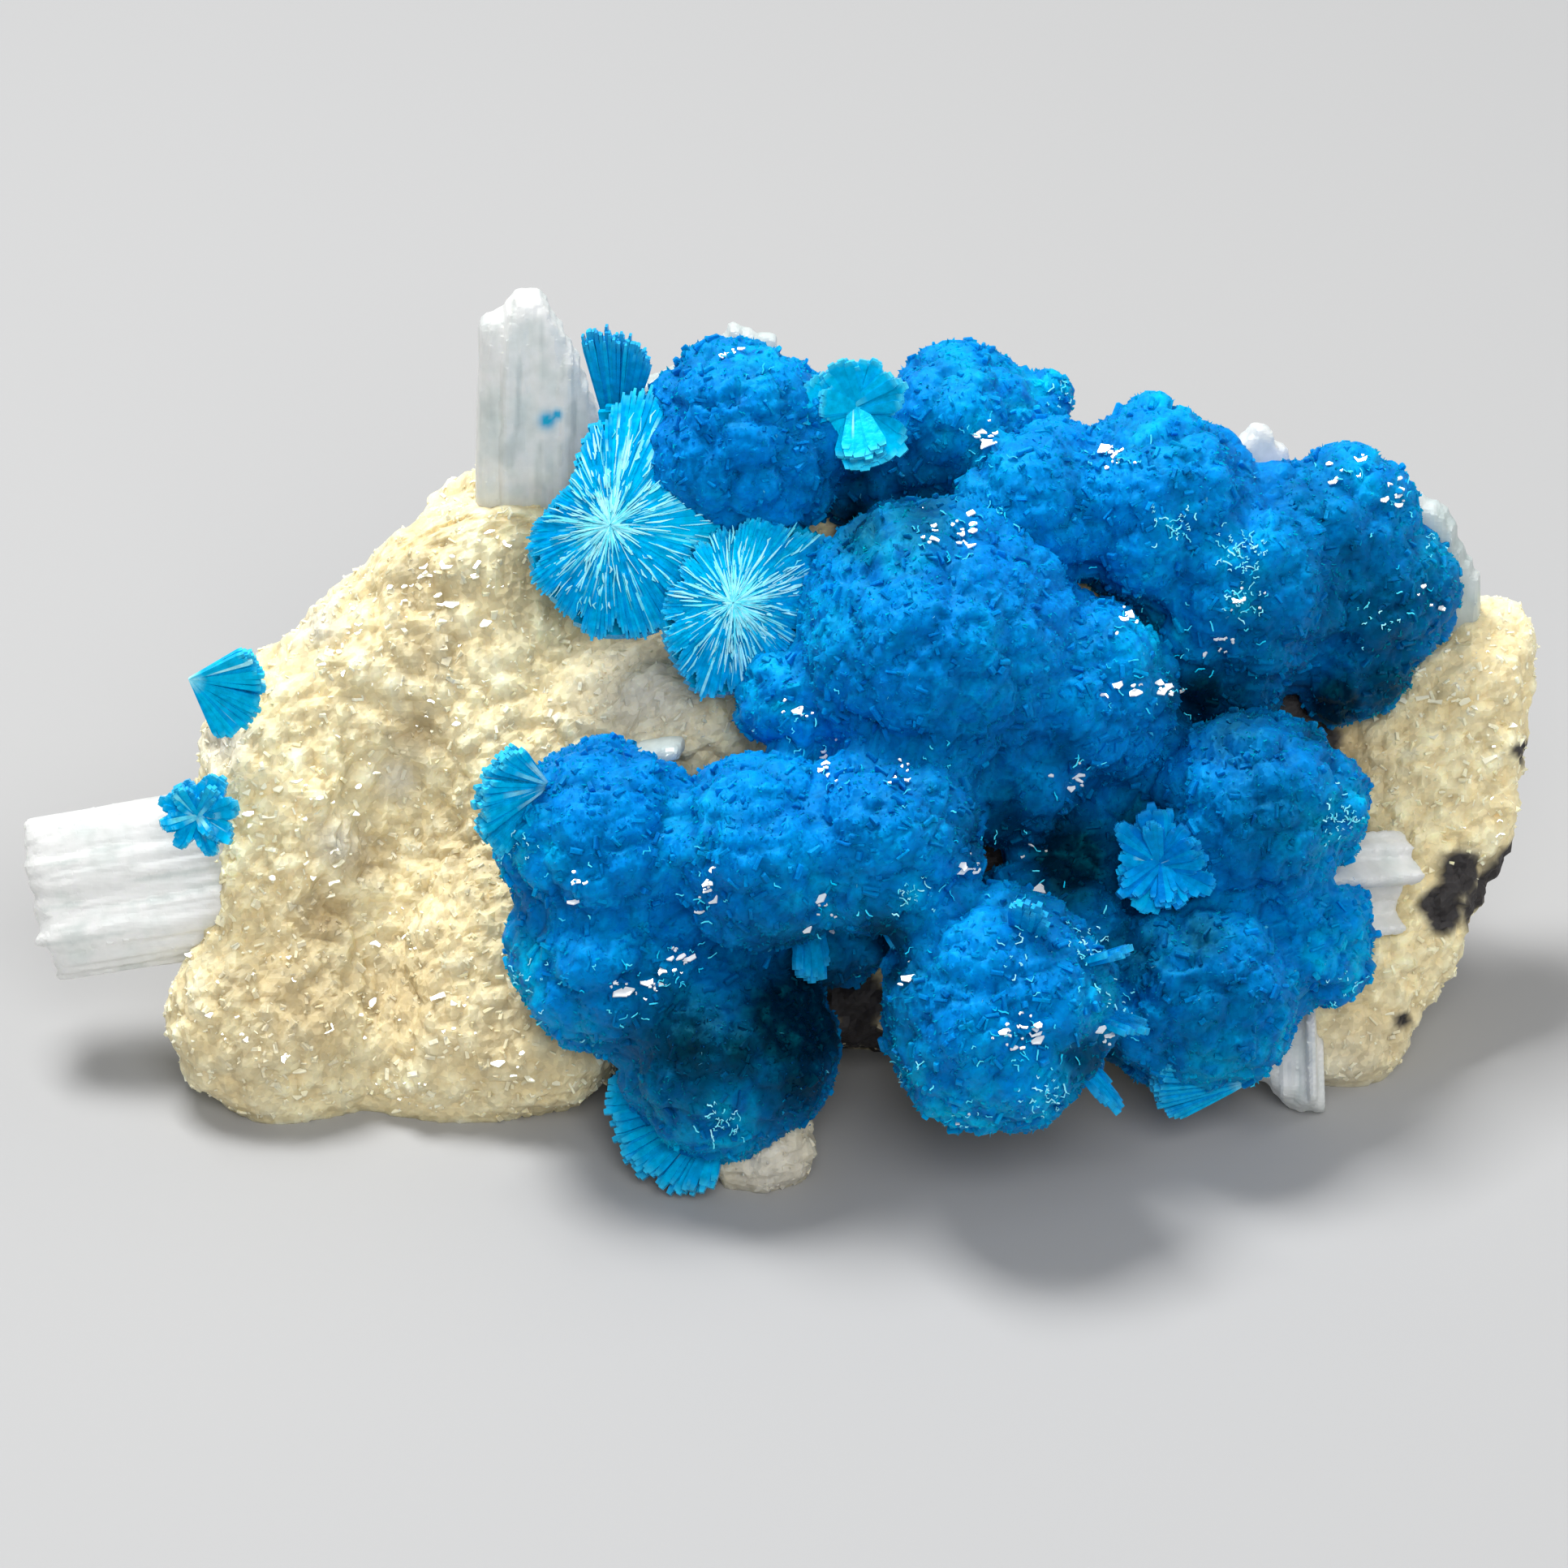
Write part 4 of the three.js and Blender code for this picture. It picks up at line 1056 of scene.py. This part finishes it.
def stilbite(name, spec, seed):
    """A crystal with striations along it, cloudy inside."""
    along = unit(np.array(spec["along"], float))
    normal = unit(np.cross(spec["across"], along))
    across = np.cross(along, normal)
    points, faces = laths_of(spec, along, across, normal, chance(seed))
    local = np.stack([points @ across, points @ along, points @ normal], axis=1)
    fibres = local * [3, 0.35, 3]
    relief = 0.05 * noise(fibres, 1.6, seed) + 0.04 * noise(fibres, 0.7, seed + 1)
    normals = normals_of(points, faces)
    points = points + normals * relief[:, None]
    keep_above(points, STILBITE_FLOOR)
    cloud = spec.get("white", 0.7) + 0.25 * noise(local, 1.5, seed + 2) + 0.2 * noise(local, 0.5, seed + 3)
    dashes = np.clip(noise(local * [4, 0.6, 1.5], 1.4, seed + 4) * 2 - 0.9, 0, 0.5)
    tints = mixed(mixed(STILBITE_GREY, STILBITE_WHITE, cloud), STILBITE_GREY * 0.75, 0.7 * dashes)
    tints = mixed(tints, CYAN, nearness(points, normals, BLUE_SPOTS))
    dress(name + "_crystal", STILBITE, "stilbite", name, points, faces, tints)


# The rock and its druse

def rock_skin():
    """The points and faces of the crusty rock, and how far the crust stands out at each point."""
    welded = bmesh.new()
    welded.from_mesh(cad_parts["matrix_rock"].data)
    bmesh.ops.remove_doubles(welded, verts=welded.verts, dist=WELD * MM)
    points, faces = remeshed(mesh_from(welded), ROCK_CELL, ROCK_SMOOTHING)
    normals = normals_of(points, faces)
    _, knot_middle, _ = bundles(points, *KNOTS)
    knots = 0.5 - 1.6 * knot_middle ** 2
    grown = crust(points, *CRUST)
    relief = LUMP_HEIGHT * noise(points, *LUMPS) + KNOT_HEIGHT * knots
    relief += CRUST_HEIGHT * grown + SUGAR_HEIGHT * noise(points, *SUGAR)
    relief *= ramp(points[:, 2], RELIEF_FROM)
    points = points + normals * relief[:, None]
    for middle, radius, out in SWELLS:
        near = np.exp(-np.sum((points - middle) ** 2, axis=1) / radius ** 2)
        points = points + near[:, None] * out
    points[:, 2] = np.where(points[:, 2] < FLAT_BELOW, 0, points[:, 2])
    return points, faces, grown + 0.6 * knots - 0.1


def druse_places(points, ways, tints):
    # Browner druse with painted shade, and grey druse, at the listed places
    tints = mixed(tints, BROWN_AND_SHADE, nearness(points, ways, BROWN_AND_SHADE_PLACES))
    return mixed(tints, GREY, nearness(points, ways, GREY_PLACES))


def basalt_and_shade_share(points, normals):
    """Where dark rock shows, from 0 to 1: the right edge, the back and underneath, and the listed places,
    which are partly dark basalt and partly painted shade in holes and gaps.
    """
    x, y, z = points.T
    patches = noise(points, *BARE_PATCHES) + 0.5 * noise(points, *BARE_FRINGES)
    right = ramp(x, BARE_RIGHT) * ramp(z, BARE_RIGHT_HEIGHT)
    back = ramp(y, BARE_BACK) * ramp(z, BARE_BACK_HEIGHT)
    under = ramp(y, BARE_UNDER) * np.clip(-1.5 * normals[:, 2], 0, 1)
    most = np.maximum(np.maximum(right, back), under)
    darkened = np.clip(3 * (0.6 * patches + 1.4 * most - 0.9), 0, 1)
    listed = 3 * nearness(points, normals, BASALT_AND_SHADE_PLACES) - 1.2 + 1.6 * noise(points, *BARE_EDGES)
    return np.maximum(darkened, np.clip(listed, 0, 1))


def rock_and_druse(seed):
    random = chance(seed)
    points, faces, grown = rock_skin()
    normals = normals_of(points, faces)
    darkened = basalt_and_shade_share(points, normals)
    # Painted light and shade: the raised crust is painted paler and its hollows darker, over tones that
    # differ at random
    cream = mixed(CREAM_DARK, CREAM, 0.6 + 0.5 * noise(points, *CREAM_TONES) + 0.8 * grown)
    cream = mixed(cream, CREAM_PALE, 0.5 * noise(points, *PALE_TONES) + 0.6 * grown - 0.1)
    # Dark basalt, with painted shade in the listed holes and gaps
    tints = mixed(druse_places(points, normals, cream), BASALT_AND_SHADE, darkened)
    dress("matrix_body", DRUSE, "druse", "matrix_rock", points, faces, tints)

    around = face_normals(points, faces)
    ways = unit(around)
    middles = points[faces].mean(axis=1)
    chances = np.linalg.norm(around, axis=1) * (1 - 0.93 * darkened[faces[:, 0]])
    chances *= (middles[:, 2] > 0.5) & (ways[:, 2] > -0.9) & (radial(middles, ALL_BALLS)[1] >= BURIED)
    chances *= np.where(ways[:, 1] > 0.3, 0.55, 1)
    pick = random.choice(len(faces), CRYSTALS, p=chances / chances.sum())
    make_crystals(on_faces(points, faces[pick], random), ways[pick], random)
    return BVHTree.FromPolygons(points.tolist(), faces.tolist())


def make_crystals(spots, normals, random):
    """Small tabular, wedge-shaped crystals that stand at all angles in the druse."""
    count = len(spots)
    length = between(CRYSTAL_LENGTH, random.random(count) ** 2)
    wide = length * (0.7 + 0.5 * random.random(count))
    thick = length * (0.3 + 0.5 * random.random(count))
    ways = unit(normals + 0.4 * random.normal(size=normals.shape))
    side, up = sideways(ways, random)
    tilt = random.normal(0, 0.25, count)
    corners = []
    for a, spread in ((-0.8, (0.7, 0.9)), (0.2, (1, 0.6))):
        for b, c in ((-0.5, -0.5), (0.5, -0.5), (0.5, 0.5), (-0.5, 0.5)):
            along = a * length + (a > 0) * b * wide * tilt
            corner = spots + ways * along[:, None] + side * (b * spread[0] * wide)[:, None]
            corners.append(corner + up * (c * spread[1] * thick)[:, None])
    points = np.stack(corners, axis=1).reshape(-1, 3)
    keep_above(points, CRYSTAL_FLOOR)
    pattern = [[3, 2, 1, 0], [4, 5, 6, 7], [0, 1, 5, 4], [1, 2, 6, 5], [2, 3, 7, 6], [3, 0, 4, 7]]
    faces = (np.arange(count)[:, None, None] * 8 + np.array(pattern)).reshape(-1, 4)
    tone = 0.75 + 0.4 * noise(spots, *CRYSTAL_TONES) + random.normal(0, 0.12, count)
    tints = mixed(mixed(CREAM_DARK, CREAM, 1.6 * tone), CREAM_PALE, 1.8 * tone - 0.8)
    tints = druse_places(spots, normals, tints).repeat(8, axis=0)
    dress("druse_crystals", DRUSE_CRYSTALS, "druse", "matrix_rock", points, faces, tints)


# The studio

def studio():
    scene = bpy.context.scene
    scene.view_settings.view_transform = "Standard"
    camera = linked("camera", bpy.data.cameras.new("camera"))
    camera.location = Vector(EYE) * MM
    camera.rotation_euler = (math.pi / 2 - DOWN, 0, 0)
    camera.data.lens = LENS
    camera.data.sensor_width = SENSOR
    camera.data.clip_start = 0.01
    scene.camera = camera

    bpy.ops.mesh.primitive_plane_add(size=FLOOR_SIZE * MM)
    floor = bpy.context.object
    floor.name = "floor"
    floor.data.materials.append(material_of("floor", FLOOR_GRAIN, Base_Color=FLOOR_GREY))

    scene.world = bpy.data.worlds.new("world")
    scene.world.use_nodes = True
    sky = scene.world.node_tree.nodes["Background"]
    sky.inputs["Color"].default_value = SKY
    sky.inputs["Strength"].default_value = SKY_STRENGTH
    for name, place, size, power in LAMPS:
        light = bpy.data.lights.new(name, "AREA")
        light.energy = power
        light.size = size * MM
        lamp = linked(name, light)
        lamp.location = Vector(place) * MM
        lamp.rotation_euler = (Vector(LAMP_AIM) - Vector(place)).to_track_quat("-Z", "Y").to_euler()


# The specimen

studio()
druse_tree = rock_and_druse(1)
druse_spots = seen_at(druse_tree, DRUSE_GLINTS, DRUSE_GLINT_SPREAD, chance(3))
glints("druse_glints", "druse", "matrix_rock", druse_spots, CREAM_PALE, chance(2))

rock_tree = tree_of("matrix_rock")
clusters = []
for name, balls, seed in (
    ("front", FRONT_BALLS, 10), ("rear_right", REAR_RIGHT_BALLS, 20), ("rear_left", REAR_LEFT_BALLS, 30),
):
    skin, faces = ball_cluster(name, "cavansite_" + name + "_cluster", balls, rock_tree, seed)
    clusters.append((skin, faces, skin))
balls_points, balls_faces, _ = joined(clusters)
balls_tree = BVHTree.FromPolygons(balls_points.tolist(), balls_faces.tolist())
glint_spots = seen_at(balls_tree, GLINTS, GLINT_SPREAD, chance(34))
glints("glints", "cavansite", "cavansite_front_cluster", glint_spots, WHITE, chance(35))
fleck_spots = seen_at(balls_tree, GLINTS, FLECK_SPREAD, chance(36))
flecks("flecks", fleck_spots, FLECK_LENGTH, CYAN, CYAN_PALE, chance(37))
pale_spots = seen_at(balls_tree, PALE_CLUSTERS, PALE_SPREAD, chance(38))
flecks("pale_flecks", pale_spots, PALE_LENGTH, CYAN_PALE, WHITE_BLUE, chance(39))

for name, made in (
    ("large_rosette", rosette(LARGE_ROSETTE, chance(40))),
    ("small_rosette", rosette(SMALL_ROSETTE, chance(41))),
    ("top_fan", fan(TOP_FAN, FAN_NEEDLES, chance(50))),
    ("left_fan", fan(LEFT_FAN, FAN_NEEDLES, chance(51))),
    ("top_spray", petals(TOP_SPRAY, chance(60))),
    ("left_spray", petals(LEFT_SPRAY, chance(61))),
):
    node = "cavansite_" + name
    dress(node + "_needles", NEEDLES, "cavansite_pale", node, *made)
extras = [fan(spec, FAN_NEEDLES, chance(70)) for spec in FRONT_FANS]
extras += [petals(STARBURST, chance(71)), plates(chance(72))]
dress("front_needles", NEEDLES, "cavansite", "cavansite_front_cluster", *joined(extras))
for number, (name, spec) in enumerate(STILBITES.items()):
    stilbite("stilbite_" + name, spec, 80 + number)
